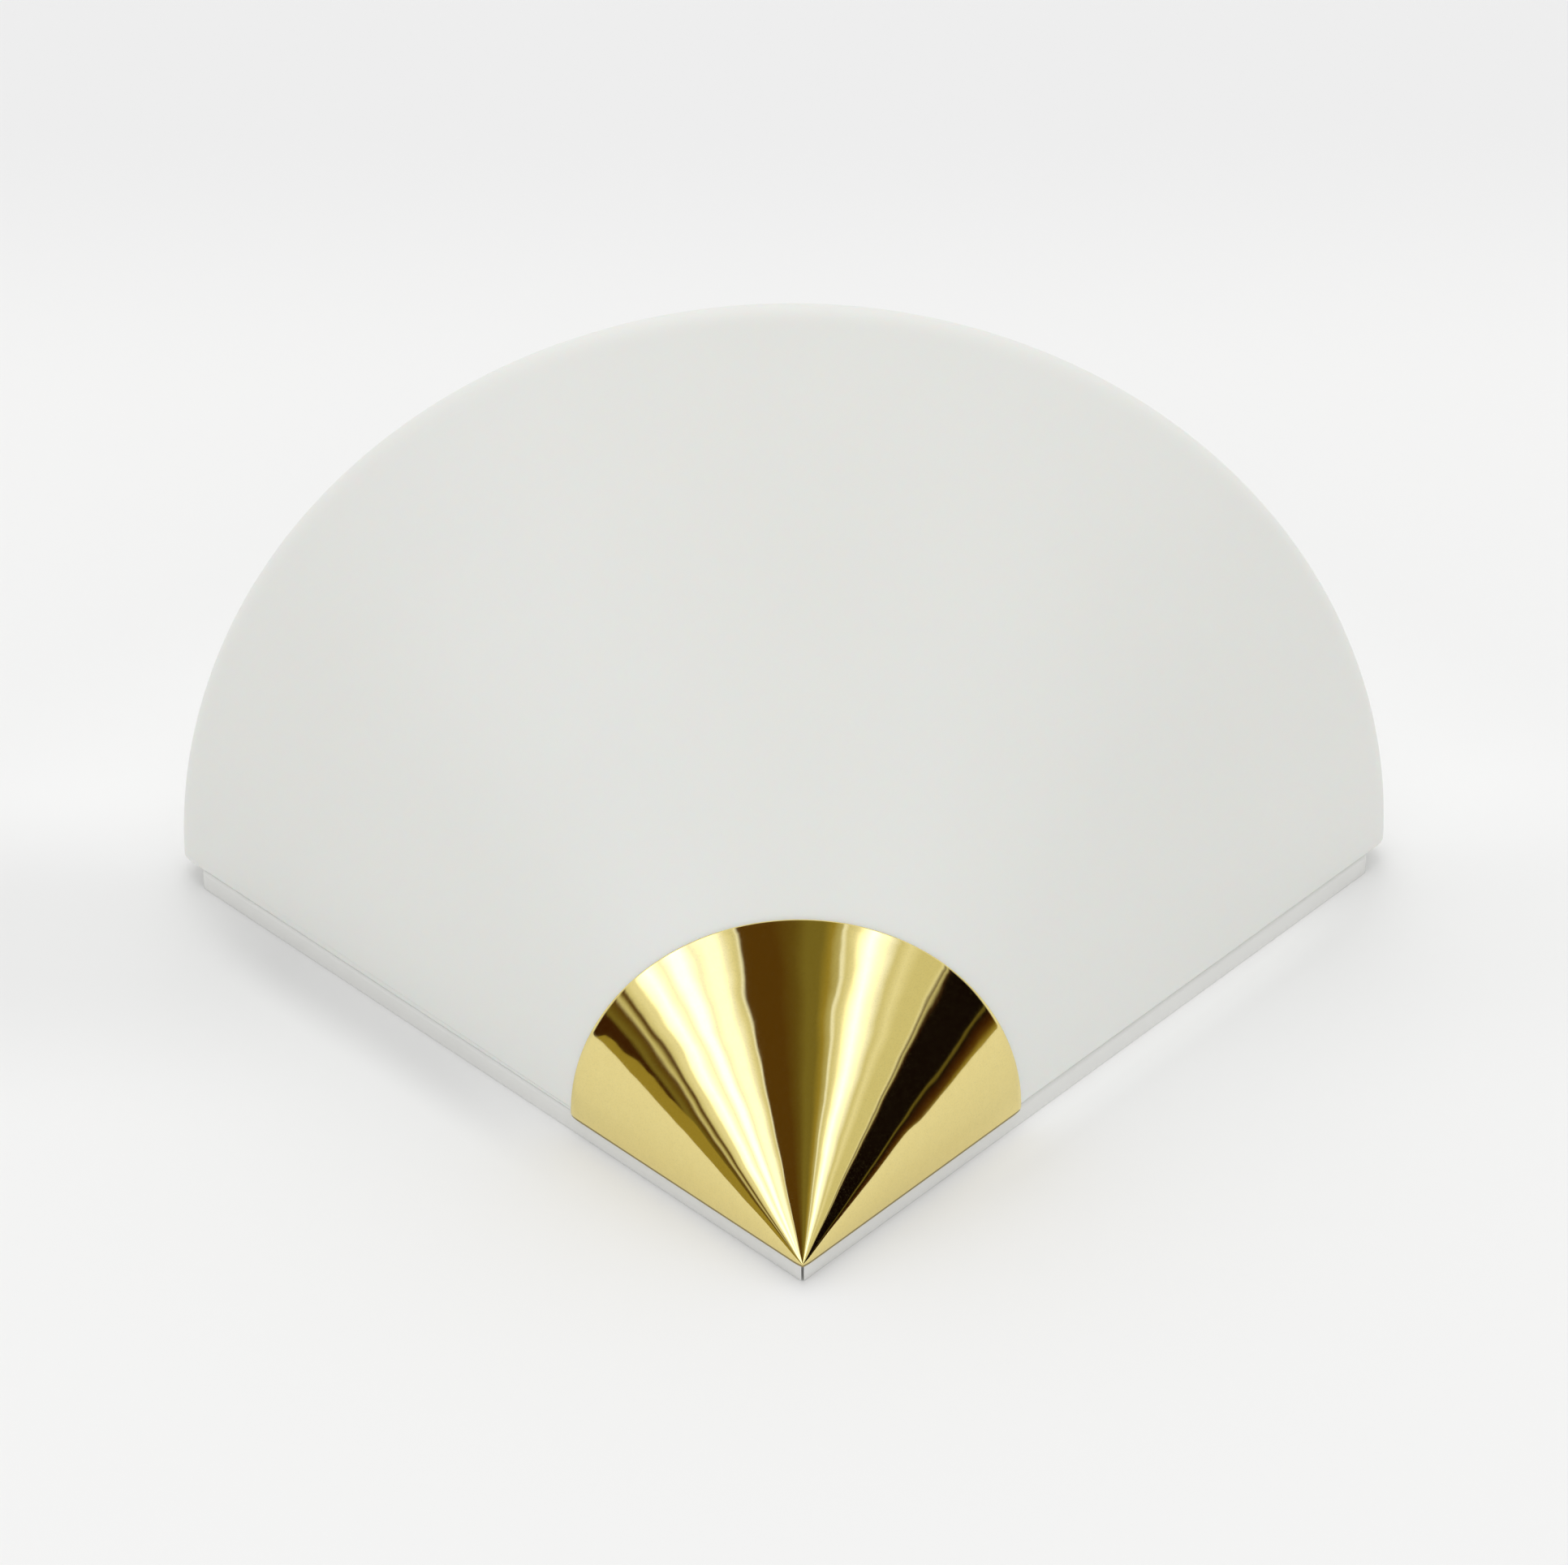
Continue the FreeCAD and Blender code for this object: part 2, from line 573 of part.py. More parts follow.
def springSleeve(side, name):
    """Silicone sleeve over the end of a side spring."""
    body = newBody(name)
    outline = newSketch(body, name + "Outline", "XY_Plane")
    front = f"-{side} * padGap"
    far = f"-{side} * ({clipBlade} + clipSheet + padSheet)"
    top = "-(clipHeight + padSheet)"
    foot = "-(clipHeight - padHeight)"
    addPolygon(outline, [(front, foot), (front, top), (far, top), (far, foot)])
    pad(body, outline, "clipWidth + 2 * padSheet", middle=True)
    room = newSketch(body, name + "Room", "XY_Plane")
    face = f"-{side} * {clipBlade}"
    back = f"-{side} * ({clipBlade} + clipSheet)"
    addPolygon(room, [(face, foot), (face, "-clipHeight"), (back, "-clipHeight"), (back, foot)])
    pocket(body, room, "clipWidth", middle=True)
    return place(body, across=f"{side} * {clipSeat}", depth=frontFace, rise=clipRise,
                 axis=(0, 1, 0), angle=f"{side} * atan(coneSlope)")


def springRivets():
    members = []
    for number, side in enumerate((-1, 1), start=1):
        across, rise = clipRivetSpot(side)
        member = rivet(f"spring_rivet_{number}", "(plateSheet + clipSheet)")
        members.append(place(member, across, panelBack, rise, **towardsRoom))
    return group("spring_rivets", members)


def lampBracket():
    body = newBody("holder_bracket")
    section = newSketch(body, "lampBracketSection", "XY_Plane", offset=lampRise)
    tip = "-(lampDepth + bracketWidth / 2)"
    foot = "-plateDepth"
    footTop = "-(plateDepth + bracketSheet)"
    footEnd = f"({bracketX} + bracketFoot)"
    addPolygon(section, [(bracketBack, foot), (bracketBack, tip), (bracketX, tip), (bracketX, footTop),
                         (footEnd, footTop), (footEnd, foot)])
    pad(body, section, "bracketWidth", middle=True)
    tipY = value(tip)

    def noseEdge(edge):
        ends = [v.Point for v in edge.Vertexes]
        return all(near(p.y, tipY) for p in ends) and near(ends[0].z, ends[-1].z)
    fillet(body, "bracketWidth / 2 - holeGap", noseEdge)
    innerX = value(bracketX)
    innerY = value(footTop)
    fillet(body, "bracketBend",
           lambda edge: all(near(v.X, innerX) and near(v.Y, innerY) for v in edge.Vertexes))
    outer = value(bracketBack)
    footY = value(foot)
    fillet(body, "bracketBend + bracketSheet",
           lambda edge: all(near(v.X, outer) and near(v.Y, footY) for v in edge.Vertexes))
    hole = newSketch(body, "nippleHole", "YZ_Plane", offset=bracketBack)
    addCircle(hole, "-lampDepth", lampRise, "nippleRadius + holeGap")
    pocket(body, hole, "bracketSheet", reverse=True)
    screws = newSketch(body, "bracketScrewHoles", "XZ_Plane")
    for rise in bracketScrewRises:
        addCircle(screws, bracketScrewX, rise, "screwRadius + holeGap")
    pocket(body, screws, "plateDepth + bracketSheet", reverse=True)
    return place(body, rise="0")


def bracketScrews():
    members = []
    shank = f"({panelBack} - nutSheet * 1.2)"
    for number, rise in enumerate(bracketScrewRises, start=1):
        head = "(plateDepth + bracketSheet)"
        member = turned(f"bracket_screw_{number}", [
            ("0", shank), ("screwRadius", shank), ("screwRadius", head), ("screwHead", head),
            ("screwHead", f"{head} + screwHeadHeight * 0.6"),
            ("screwHead * 0.6", f"{head} + screwHeadHeight"), ("0", f"{head} + screwHeadHeight"),
        ])
        members.append(place(member, bracketScrewX, "0", rise, **towardsRoom))
    return group("bracket_screws", members)


def hexNut(name, flats, height, bore):
    """Hexagon nut about its own upright axis, from the height 0."""
    prism = doc.addObject("Part::Prism", name + "Hexagon")
    prism.Polygon = 6
    bind(prism, "Circumradius", f"{flats} / sqrt(3)")
    bind(prism, "Height", height)
    drill = doc.addObject("Part::Cylinder", name + "Bore")
    bind(drill, "Radius", bore)
    bind(drill, "Height", height)
    nut = doc.addObject("Part::Cut", name)
    nut.Base = prism
    nut.Tool = drill
    nut.Label = name
    return nut


def ring(name, radius, bore, height):
    """Flat ring about its own upright axis, from the height 0."""
    disc = doc.addObject("Part::Cylinder", name + "Disc")
    bind(disc, "Radius", radius)
    bind(disc, "Height", height)
    drill = doc.addObject("Part::Cylinder", name + "Bore")
    bind(drill, "Radius", bore)
    bind(drill, "Height", height)
    washer = doc.addObject("Part::Cut", name)
    washer.Base = disc
    washer.Tool = drill
    washer.Label = name
    return washer


def bracketNuts():
    members = []
    for number, rise in enumerate(bracketScrewRises, start=1):
        nut = hexNut(f"bracket_nut_{number}", "nutFlats", "nutSheet", "screwRadius + holeGap / 2")
        members.append(place(nut, bracketScrewX, f"{panelBack} - nutSheet", rise, **towardsRoom))
    return group("bracket_nuts", members)



def onLampAxis(thing, across):
    return place(thing, across, "lampDepth", lampRise, **alongX)


def nipple():
    body = turned("holder_nipple", [("nippleBore", "0"), ("nippleRadius", "0"),
                                    ("nippleRadius", "nippleLength"), ("nippleBore", "nippleLength")])
    return onLampAxis(body, f"{bracketX} - nippleBack")


def nippleWasher():
    washer = ring("nipple_washer", "lockWasherRadius", "nippleRadius + holeGap / 2", "lockWasherSheet")
    return onLampAxis(washer, f"{bracketBack} - lockWasherSheet")


def nippleNut():
    nut = hexNut("nipple_nut", "lockFlats", "lockHeight", "nippleRadius + holeGap / 2")
    return onLampAxis(nut, f"{bracketBack} - lockWasherSheet - lockHeight")


def holderCap():
    hole = "(nippleRadius + holeGap / 2)"
    waist = "(holderRadius - holderStep)"
    body = turned("holder_cap", [
        (hole, "0"), ("holderNose", "0"), (waist, "holderCapLength / 2"),
        ("holderRadius", "holderCapLength / 2 + 3 * holderStep"), ("holderRadius", "holderCapLength"),
        ("holderRadius - holderWall", "holderCapLength"),
        ("holderRadius - holderWall", "holderCapLength / 2 + 4 * holderStep"),
        (f"{waist} - holderWall", "holderCapLength / 2 + holderStep"),
        ("holderNose - holderWall", "holderWall + holderStep"), (hole, "holderWall + holderStep"),
    ])
    return onLampAxis(body, bracketX)


holderStart = f"({bracketX} + holderCapLength)"


def holderSleeve():
    body = turned("holder_body", [
        ("holderRadius - holderWall", "0"), ("holderRadius", "0"), ("holderRadius", "holderBodyLength"),
        (holderMouth, "holderBodyLength"), (holderMouth, "holderBodyLength - holderWall"),
        ("holderRadius - holderWall", "holderBodyLength - holderWall"),
    ])
    outer = value("holderRadius")
    end = value("holderBodyLength")
    fillet(body, "holderWall * 0.6", lambda edge: isCircle(edge, outer, end))
    return onLampAxis(body, holderStart)


def contactCarrier():
    body = turned("holder_insert", [
        ("0", "0"), ("holderRadius - holderWall - insertGap", "0"),
        ("holderRadius - holderWall - insertGap", "insertHeight"), ("0", "insertHeight"),
    ])
    return onLampAxis(body, holderStart)


sleeveStart = f"({holderStart} + insertHeight)"


def contactSleeve():
    body = turned("contact_sleeve", [
        (sleeveInside, "0"), (f"{sleeveInside} + sleeveSheet", "0"),
        (f"{sleeveInside} + sleeveSheet", "sleeveLength"), (sleeveInside, "sleeveLength"),
    ])
    return onLampAxis(body, sleeveStart)


def centreTongue():
    """Bent strip on the ceramic carrier that presses on the lamp's centre contact."""
    body = newBody("centre_contact")
    section = newSketch(body, "tongueSection", "XZ_Plane")
    left = "-contactRadius * 1.6"
    bent = "-contactRadius * 0.9"
    addPolygon(section, [
        (left, "0"), (bent, "0"), ("0", "tongueLift - tongueSheet"),
        ("contactRadius", "tongueLift - tongueSheet"), ("contactRadius", "tongueLift"),
        ("-contactRadius * 0.1", "tongueLift"),
        (f"{bent} - tongueSheet * 0.2", "tongueSheet"), (left, "tongueSheet"),
    ])
    pad(body, section, "tongueWidth", middle=True)
    return onLampAxis(body, sleeveStart)


lampStart = f"({sleeveStart} + tongueLift + contactGap)"
shellStart = "(contactHeight + insulatorHeight)"
shellEnd = f"({shellStart} + baseLength)"
bulbCentre = "(bulbLength - bulbRadius)"


def lampGlass():
    """Pear-shaped glass: a ball, a hollow curve and a straight neck, joined tangent, as a thin shell."""
    inner = {}
    outer = {}
    for section, shrink in ((outer, 0), (inner, value("bulbGlass"))):
        ball = value("bulbRadius") - shrink
        neck = value("bulbNeck") - shrink
        blend = value("bulbBlend") + shrink
        centre = value(bulbCentre)
        reach = math.sqrt((ball + blend) ** 2 - (neck + blend) ** 2)
        share = ball / (ball + blend)
        blendCentre = Vector(neck + blend, 0, centre - reach)
        section["crown"] = Vector(0, 0, centre + ball)
        section["side"] = Vector(ball, 0, centre)
        section["meet"] = Vector((neck + blend) * share, 0, centre - reach * share)
        section["waist"] = Vector(neck, 0, centre - reach)
        half = (section["meet"] + section["waist"]) * 0.5 - blendCentre
        section["hollow"] = blendCentre + half.normalize() * blend
        section["end"] = Vector(neck, 0, value(f"{shellEnd} - baseCrimp"))

    def run(section):
        return [
            Part.Arc(section["crown"], section["side"], section["meet"]).toShape(),
            Part.Arc(section["meet"], section["hollow"], section["waist"]).toShape(),
            Part.makeLine(section["waist"], section["end"]),
        ]
    edges = run(outer) + run(inner)
    edges.append(Part.makeLine(outer["end"], inner["end"]))
    edges.append(Part.makeLine(outer["crown"], inner["crown"]))
    section = Part.Face(Part.Wire(Part.__sortEdges__(edges)))
    glass = doc.addObject("Part::Feature", "bulb_glass")
    glass.Label = "bulb_glass"
    glass.Shape = section.revolve(Vector(0, 0, 0), Vector(0, 0, 1), 360)
    return onLampAxis(glass, lampStart)


def lampShell():
    """Screw shell of the lamp, crimped over the neck of the glass."""
    collar = "(bulbNeck + baseFit)"
    crimp = f"({shellEnd} - baseCrimp)"
    slope = f"({collar} + baseSheet - baseRadius)"
    foot = "(baseRadius - baseRound / 2)"
    hole = "(contactRadius + baseRound)"
    body = turned("bulb_shell", [
        (hole, shellStart), (foot, shellStart), ("baseRadius", f"{shellStart} + baseRound"),
        ("baseRadius", f"{crimp} - {slope}"), (f"{collar} + baseSheet", crimp),
        (f"{collar} + baseSheet", f"{shellEnd} + baseCollar"), (collar, f"{shellEnd} + baseCollar"),
        (collar, f"{crimp}"), ("baseRadius - baseSheet", f"{crimp} - {slope}"),
        ("baseRadius - baseSheet", f"{shellStart} + baseRound + baseSheet"),
        (f"{foot} - baseSheet", f"{shellStart} + baseSheet"), (hole, f"{shellStart} + baseSheet"),
    ])
    return onLampAxis(body, lampStart)


def lampInsulator():
    body = turned("bulb_insulator", [
        ("contactRadius * 0.5", "contactHeight"), ("contactRadius * 1.1", "contactHeight"),
        ("baseRadius - baseRound", shellStart), ("contactRadius * 0.5", shellStart),
    ])
    return onLampAxis(body, lampStart)


def lampContact():
    body = turned("bulb_contact", [
        ("0", "0"), ("contactRadius * 0.7", "0"), ("contactRadius", "contactHeight * 0.4"),
        ("contactRadius", "contactHeight"), ("0", "contactHeight"),
    ])
    return onLampAxis(body, lampStart)


stemFoot = f"({shellEnd} - baseCrimp + stemEdge)"
stemTop = f"({stemFoot} + stemLength)"


def lampStem():
    """Glass stem sealed in the neck: a flare, a tube and a flat pinch."""
    flare = "(bulbNeck - bulbGlass - stemFit)"
    body = turned("bulb_stem", [
        ("0", stemFoot), (flare, stemFoot), (flare, f"{stemFoot} + stemEdge"),
        ("stemRadius", f"{stemFoot} + stemFlare"), ("stemRadius", f"{stemTop} - stemPinch"),
        ("stemRadius * 0.6", stemTop), ("0", stemTop),
    ])
    return onLampAxis(body, lampStart)


def filament():
    """Two lead-in wires that rise from the stem and carry the coiled filament between them."""
    span = value("filamentSpan") / 2
    foot = value(f"{stemTop} + leadRadius")
    top = foot + value("filamentRise")
    root = value("stemRadius * 0.35")
    solids = []
    for side in (-1, 1):
        start = Vector(side * root, 0, foot)
        end = Vector(side * span, 0, top)
        solids.append(tube([start, end], value("leadRadius")))
    crown = Vector(0, 0, top + value("filamentArch"))
    arc = Part.Wire([Part.Arc(Vector(-span, 0, top), crown, Vector(span, 0, top)).toShape()])
    coil = Part.makeCircle(value("filamentRadius"), Vector(-span, 0, top), arc.Edges[0].tangentAt(0))
    solids.append(arc.makePipeShell([Part.Wire([coil])], True, False))
    wire = doc.addObject("Part::Feature", "bulb_filament")
    wire.Label = "bulb_filament"
    wire.Shape = solids[0].multiFuse(solids[1:]).removeSplitter()
    return onLampAxis(wire, lampStart)


def tube(points, radius):
    """Round wire through points: straight runs joined by arcs as large as the runs allow."""
    edges = []
    start = points[0]
    for number in range(1, len(points) - 1):
        corner = points[number]
        back = points[number - 1] - corner
        ahead = points[number + 1] - corner
        turn = math.pi - back.getAngle(ahead)
        trim = 0.45 * min(back.Length, ahead.Length)
        bend = trim / math.tan(turn / 2)
        back.normalize()
        ahead.normalize()
        into = corner + back * trim
        out = corner + ahead * trim
        inward = (back + ahead).normalize()
        middle = corner + inward * (bend / math.cos(turn / 2) - bend)
        edges.append(Part.makeLine(start, into))
        edges.append(Part.Arc(into, middle, out).toShape())
        print(f"bend radius {bend:.1f}")
        start = out
    edges.append(Part.makeLine(start, points[-1]))
    path = Part.Wire(edges)
    profile = Part.Wire([Part.makeCircle(radius, points[0], points[1] - points[0])])
    solid = path.makePipeShell([profile], True, False)
    expected = math.pi * radius ** 2 * path.Length
    if abs(solid.Volume / expected - 1) > 0.01:
        raise RuntimeError("a wire's volume doesn't match its length")
    return solid


def plateBox(name, across, rise, width, height, length):
    """Box that stands on the plate about a middle point: width across, height off the plate."""
    box = doc.addObject("Part::Box", name)
    bind(box, "Length", width)
    bind(box, "Width", height)
    bind(box, "Height", length)
    bind(box, "Placement.Base.x", f"{across} - ({width}) / 2")
    bind(box, "Placement.Base.y", f"-({frontFace} + {height})")
    bind(box, "Placement.Base.z", f"{rise} - ({length}) / 2 - mountRise")
    return box


def drill(name, radius, length, across, depth, rise, direction):
    hole = doc.addObject("Part::Cylinder", name)
    bind(hole, "Radius", radius)
    bind(hole, "Height", length)
    return place(hole, across, depth, rise, **direction)


poleRises = [f"(blockRise + {step} * polePitch)" for step in (1, 0, -1)]
clampSpots = [(f"(blockX + {step} * clampPitch / 2)", rise) for rise in poleRises for step in (-1, 1)]
poleDepth = "(plateDepth + poleAxis)"


def terminalBlock():
    solids = [plateBox("blockFloor", "blockX", "blockRise", "blockLength", "blockBase",
                       "2 * polePitch + poleWidth")]
    cuts = []
    for number, rise in enumerate(poleRises, start=1):
        solids.append(plateBox(f"blockPole{number}", "blockX", rise, "blockLength", "blockHeight",
                               "poleWidth"))
        cuts.append(drill(f"poleBore{number}", "tubeRadius + holeGap", "blockLength + 2",
                          "blockX - blockLength / 2 - 1", poleDepth, rise, alongX))
    for number, (across, rise) in enumerate(clampSpots, start=1):
        cuts.append(drill(f"clampBore{number}", "clampHead + holeGap", "blockHeight - poleAxis + 1",
                          across, poleDepth, rise, towardsRoom))
    for number, rise in enumerate(blockScrewRises, start=1):
        cuts.append(drill(f"blockScrewBore{number}", "blockScrewRadius + holeGap", "blockBase",
                          "blockX", "plateDepth", rise, towardsRoom))
        cuts.append(drill(f"blockScrewWell{number}", "blockScrewHead + holeGap", "blockHeight - blockBase",
                          "blockX", "plateDepth + blockBase", rise, towardsRoom))
    whole = doc.addObject("Part::MultiFuse", "blockWhole")
    whole.Shapes = solids
    tools = doc.addObject("Part::MultiFuse", "blockCuts")
    tools.Shapes = cuts
    block = doc.addObject("Part::Cut", "terminal_block")
    block.Base = whole
    block.Tool = tools
    block.Label = "terminal_block"
    return block


def terminalTubes():
    members = []
    for number, rise in enumerate(poleRises, start=1):
        barrel = ring(f"tubeBarrel{number}", "tubeRadius", "tubeBore", "tubeLength")
        place(barrel, "blockX - tubeLength / 2", poleDepth, rise, **alongX)
        crossings = doc.addObject("Part::MultiFuse", f"tubeCrossings{number}")
        crossings.Shapes = [
            drill(f"tubeTap{number}{step}", "clampRadius + holeGap / 2", "tubeRadius + 1",
                  across, poleDepth, rise, towardsRoom)
            for step, (across, spot) in enumerate(clampSpots) if spot == rise
        ]
        tapped = doc.addObject("Part::Cut", f"tube{number}")
        tapped.Base = barrel
        tapped.Tool = crossings
        members.append(tapped)
    return group("terminal_tubes", members)


def terminalScrews():
    members = []
    foot = "(poleAxis + tubeBore * 0.5)"
    head = "(blockHeight - clampSunk - clampHeadHeight)"
    for number, (across, rise) in enumerate(clampSpots, start=1):
        member = turned(f"terminal_screw_{number}", [
            ("0", foot), ("clampRadius", foot), ("clampRadius", head), ("clampHead", head),
            ("clampHead", "blockHeight - clampSunk"), ("0", "blockHeight - clampSunk"),
        ])
        members.append(place(member, across, frontFace, rise, **towardsRoom))
    return group("terminal_screws", members)


def blockScrews():
    members = []
    for number, rise in enumerate(blockScrewRises, start=1):
        member = turned(f"block_screw_{number}", [
            ("0", "-plateSheet * 2.5"), ("blockScrewRadius * 0.5", "-plateSheet * 2.5"),
            ("blockScrewRadius", "-plateSheet * 1.5"), ("blockScrewRadius", "blockBase"),
            ("blockScrewHead", "blockBase"), ("blockScrewHead", "blockBase + blockScrewHeight * 0.6"),
            ("blockScrewHead * 0.6", "blockBase + blockScrewHeight"), ("0", "blockBase + blockScrewHeight"),
        ])
        members.append(place(member, "blockX", frontFace, rise, **towardsRoom))
    return group("terminal_block_screws", members)


def grommet():
    hole = "(inletBore + grommetWall)"
    edge = f"({hole} + grommetFlange)"
    body = turned("cable_grommet", [
        ("inletBore", "-grommetLip"), (edge, "-grommetLip"), (edge, "0"), (hole, "0"),
        (hole, "plateSheet"), (edge, "plateSheet"), (edge, "plateSheet + grommetLip"),
        ("inletBore", "plateSheet + grommetLip"),
    ])
    return place(body, "inletX", panelBack, "inletRise", **towardsRoom)


def earthStud():
    """Stud pressed into the plate from behind, with a low head on the hollow side."""
    body = turned("earth_stud", [
        ("0", "-earthHead"), ("screwHead", "-earthHead"), ("screwHead", "0"), ("screwRadius", "0"),
        ("screwRadius", "plateSheet + earthLength"), ("0", "plateSheet + earthLength"),
    ])
    return place(body, "earthX", panelBack, "earthRise", **towardsRoom)


tagDepth = "(plateDepth + earthWasherSheet)"
earthNutDepth = "(plateDepth + earthWasherSheet + tagSheet)"


def earthWasher():
    washer = ring("earth_washer", "earthWasher", "screwRadius + holeGap", "earthWasherSheet")
    return place(washer, "earthX", frontFace, "earthRise", **towardsRoom)


def earthTag():
    """Ring tag with a barrel that points at the terminal block."""
    body = newBody("earth_tag")
    outline = newSketch(body, "tagOutline", "XZ_Plane")
    addCircle(outline, "0", "0", "tagRadius")
    pad(body, outline, "tagSheet")
    arm = newSketch(body, "tagArm", "XZ_Plane")
    addPolygon(arm, [("0", "-wireRadius"), ("tagBarrel", "-wireRadius"),
                     ("tagBarrel", "wireRadius"), ("0", "wireRadius")])
    pad(body, arm, "tagSheet")
    hole = newSketch(body, "tagHole", "XZ_Plane")
    addCircle(hole, "0", "0", "screwRadius + holeGap")
    pocket(body, hole, "tagSheet", reverse=True)
    return place(body, "earthX", tagDepth, "earthRise")


def earthNut():
    nut = hexNut("earth_nut", "nutFlats", "earthNutHeight", "screwRadius + holeGap / 2")
    return place(nut, "earthX", earthNutDepth, "earthRise", **towardsRoom)


def wire(name, points):
    """Internal wire through points given as distance across, rise and depth."""
    feature = doc.addObject("Part::Feature", name)
    feature.Label = name
    base = value("mountRise")
    feature.Shape = tube([Vector(x, -depth, rise - base) for x, rise, depth in points], value("wireRadius"))
    return feature


def leads():
    """The two leads from the terminal block round behind the lampholder and into its tube."""
    blockEnd = value("blockX - blockLength / 2 + wireEntry")
    level = value(poleDepth)
    spread = value("wireSpread")
    loop = value("wireLoop")
    tail = value(f"{bracketX} - nippleBack")
    carrier = value(f"{holderStart} - contactGap")
    rise = value(lampRise)
    depth = value("lampDepth")
    live = value(poleRises[0])
    neutral = value(poleRises[1])

    def along(share):
        return blockEnd + share * (tail - blockEnd)
    wire("live_wire", [
        (blockEnd, live, level), (along(0.33), live, level), (along(0.7), live + 12, level),
        (tail - loop * 0.6, rise - 17, level + 4), (tail - loop * 0.95, rise - 2, depth - 18),
        (tail - loop * 0.75, rise + spread, depth - 2), (tail + 2, rise + spread, depth),
        (carrier, rise + spread, depth),
    ])
    wire("neutral_wire", [
        (blockEnd, neutral, level), (along(0.33), neutral, level), (along(0.72), neutral + 15, level),
        (tail - loop * 0.6, rise - 22, level + 3.6), (tail - loop, rise - 8, depth - 20),
        (tail - loop * 0.8, rise - spread, depth - 3), (tail + 2, rise - spread, depth),
        (carrier, rise - spread, depth),
    ])


def earthLead():
    """Short earth wire from the terminal block to the ring tag."""
    blockEnd = value("blockX - blockLength / 2 + wireEntry")
    level = value(poleDepth)
    earth = value(poleRises[2])
    tagEnd = value("earthX + tagBarrel")
    tagTop = value(f"{tagDepth} + tagSheet + wireRadius")
    rise = value("earthRise")
    wire("earth_wire", [
        (blockEnd, earth, level), (blockEnd - 7, earth, level),
        (tagEnd + 2, rise, tagTop), (tagEnd - 2.5, rise, tagTop),
    ])


def glassShade():
    body = newBody("glass_shade")
    section = newSketch(body, "glassSection", "XZ_Plane")
    lip = "(rimRadius - lipWidth)"
    innerTop = f"({glassTop} - glassWall)"
    addPolygon(section, [
        ("coneSlope * glassCut", "glassCut"), (f"coneSlope * {glassTop}", glassTop), (lip, glassTop),
        (lip, innerTop), (f"coneSlope * {innerTop} - {glassInset}", innerTop),
        (f"coneSlope * glassCut - {glassInset}", "glassCut"),
    ])
    revolve(body, section, "180", reverse=True)
    top = value(glassTop)
    underLip = value(innerTop)
    outer = value(f"coneSlope * {glassTop}")
    inner = value(f"coneSlope * {innerTop} - {glassInset}")
    lipRadius = value(lip)
    fillet(body, "shoulderRadius", lambda edge: isCircle(edge, outer, top))
    fillet(body, "shoulderRadius - glassWall", lambda edge: isCircle(edge, inner, underLip))
    fillet(body, "glassWall * 0.45",
           lambda edge: isCircle(edge, lipRadius, top) or isCircle(edge, lipRadius, underLip))
    return place(body, depth=seat, rise="0")


def brassCap():
    body = newBody("tip_cap")
    section = newSketch(body, "capSection", "XZ_Plane")
    pointIn = f"-{capInside} / coneSlope"
    pointOut = f"-{capOutside} / coneSlope"
    rimIn = f"coneSlope * capReach + {capInside}"
    rimOut = f"coneSlope * capReach + {capOutside}"
    addPolygon(section, [("0", pointOut), (rimOut, "capReach"), (rimIn, "capReach"), ("0", pointIn)])
    revolve(body, section, "180", reverse=True)
    skirt = newSketch(body, "capSkirtOutline", "XZ_Plane")
    addPolygon(skirt, [
        ("0", pointOut), (rimOut, "capReach"), (rimIn, "capReach"), ("0", pointIn),
        (f"-({rimIn})", "capReach"), (f"-({rimOut})", "capReach"),
    ])
    pad(body, skirt, "capSkirt", reverse=True)
    return place(body, depth=seat, rise="0")


def tipCushion():
    """Rubber half ring bonded inside the cap, under the ground end of the glass."""
    outerFoot = f"coneSlope * (glassCut - cushionGap - cushionHeight) + {capInside}"
    outerTop = f"coneSlope * (glassCut - cushionGap) + {capInside}"
    body = turned("tip_cushion", [
        (f"{outerFoot} - cushionWidth * 0.6", "glassCut - cushionGap - cushionHeight"),
        (outerFoot, "glassCut - cushionGap - cushionHeight"), (outerTop, "glassCut - cushionGap"),
        (f"{outerTop} - cushionWidth", "glassCut - cushionGap"),
    ], "180")
    return place(body, depth=seat, rise="0")


def capPlug():
    """Brass plug soldered in the cap's point, with a tapped hole for the stud."""
    body = turned("cap_plug", [
        ("0", "plugFoot"), (f"coneSlope * plugFoot + {capInside} - solderGap", "plugFoot"),
        (f"coneSlope * plugTop + {capInside} - solderGap", "plugTop"), ("0", "plugTop"),
    ], "180")
    hole = newSketch(body, "plugHole", "XY_Plane", offset="plugTop")
    addCircle(hole, "0", "-(studDepth - seatGap)", "studRadius")
    pocket(body, hole, "studSunk")
    return place(body, depth=seat, rise="0")


def capStud():
    foot = "(plugTop - studSunk)"
    body = turned("cap_stud", [
        ("0", foot), ("studRadius", foot), ("studRadius", "studTop - studChamfer"),
        ("studRadius - studChamfer", "studTop"), ("0", "studTop"),
    ])
    return place(body, depth="plateDepth + studDepth", rise="0")


washerRise = "(shelfRise + tipBracketSheet + nutGap)"
nutRise = f"({washerRise} + washerSheet + nutGap)"


def studWasher():
    washer = ring("stud_washer", "washerRadius", "nutBore", "washerSheet")
    return place(washer, depth="plateDepth + studDepth", rise=washerRise)


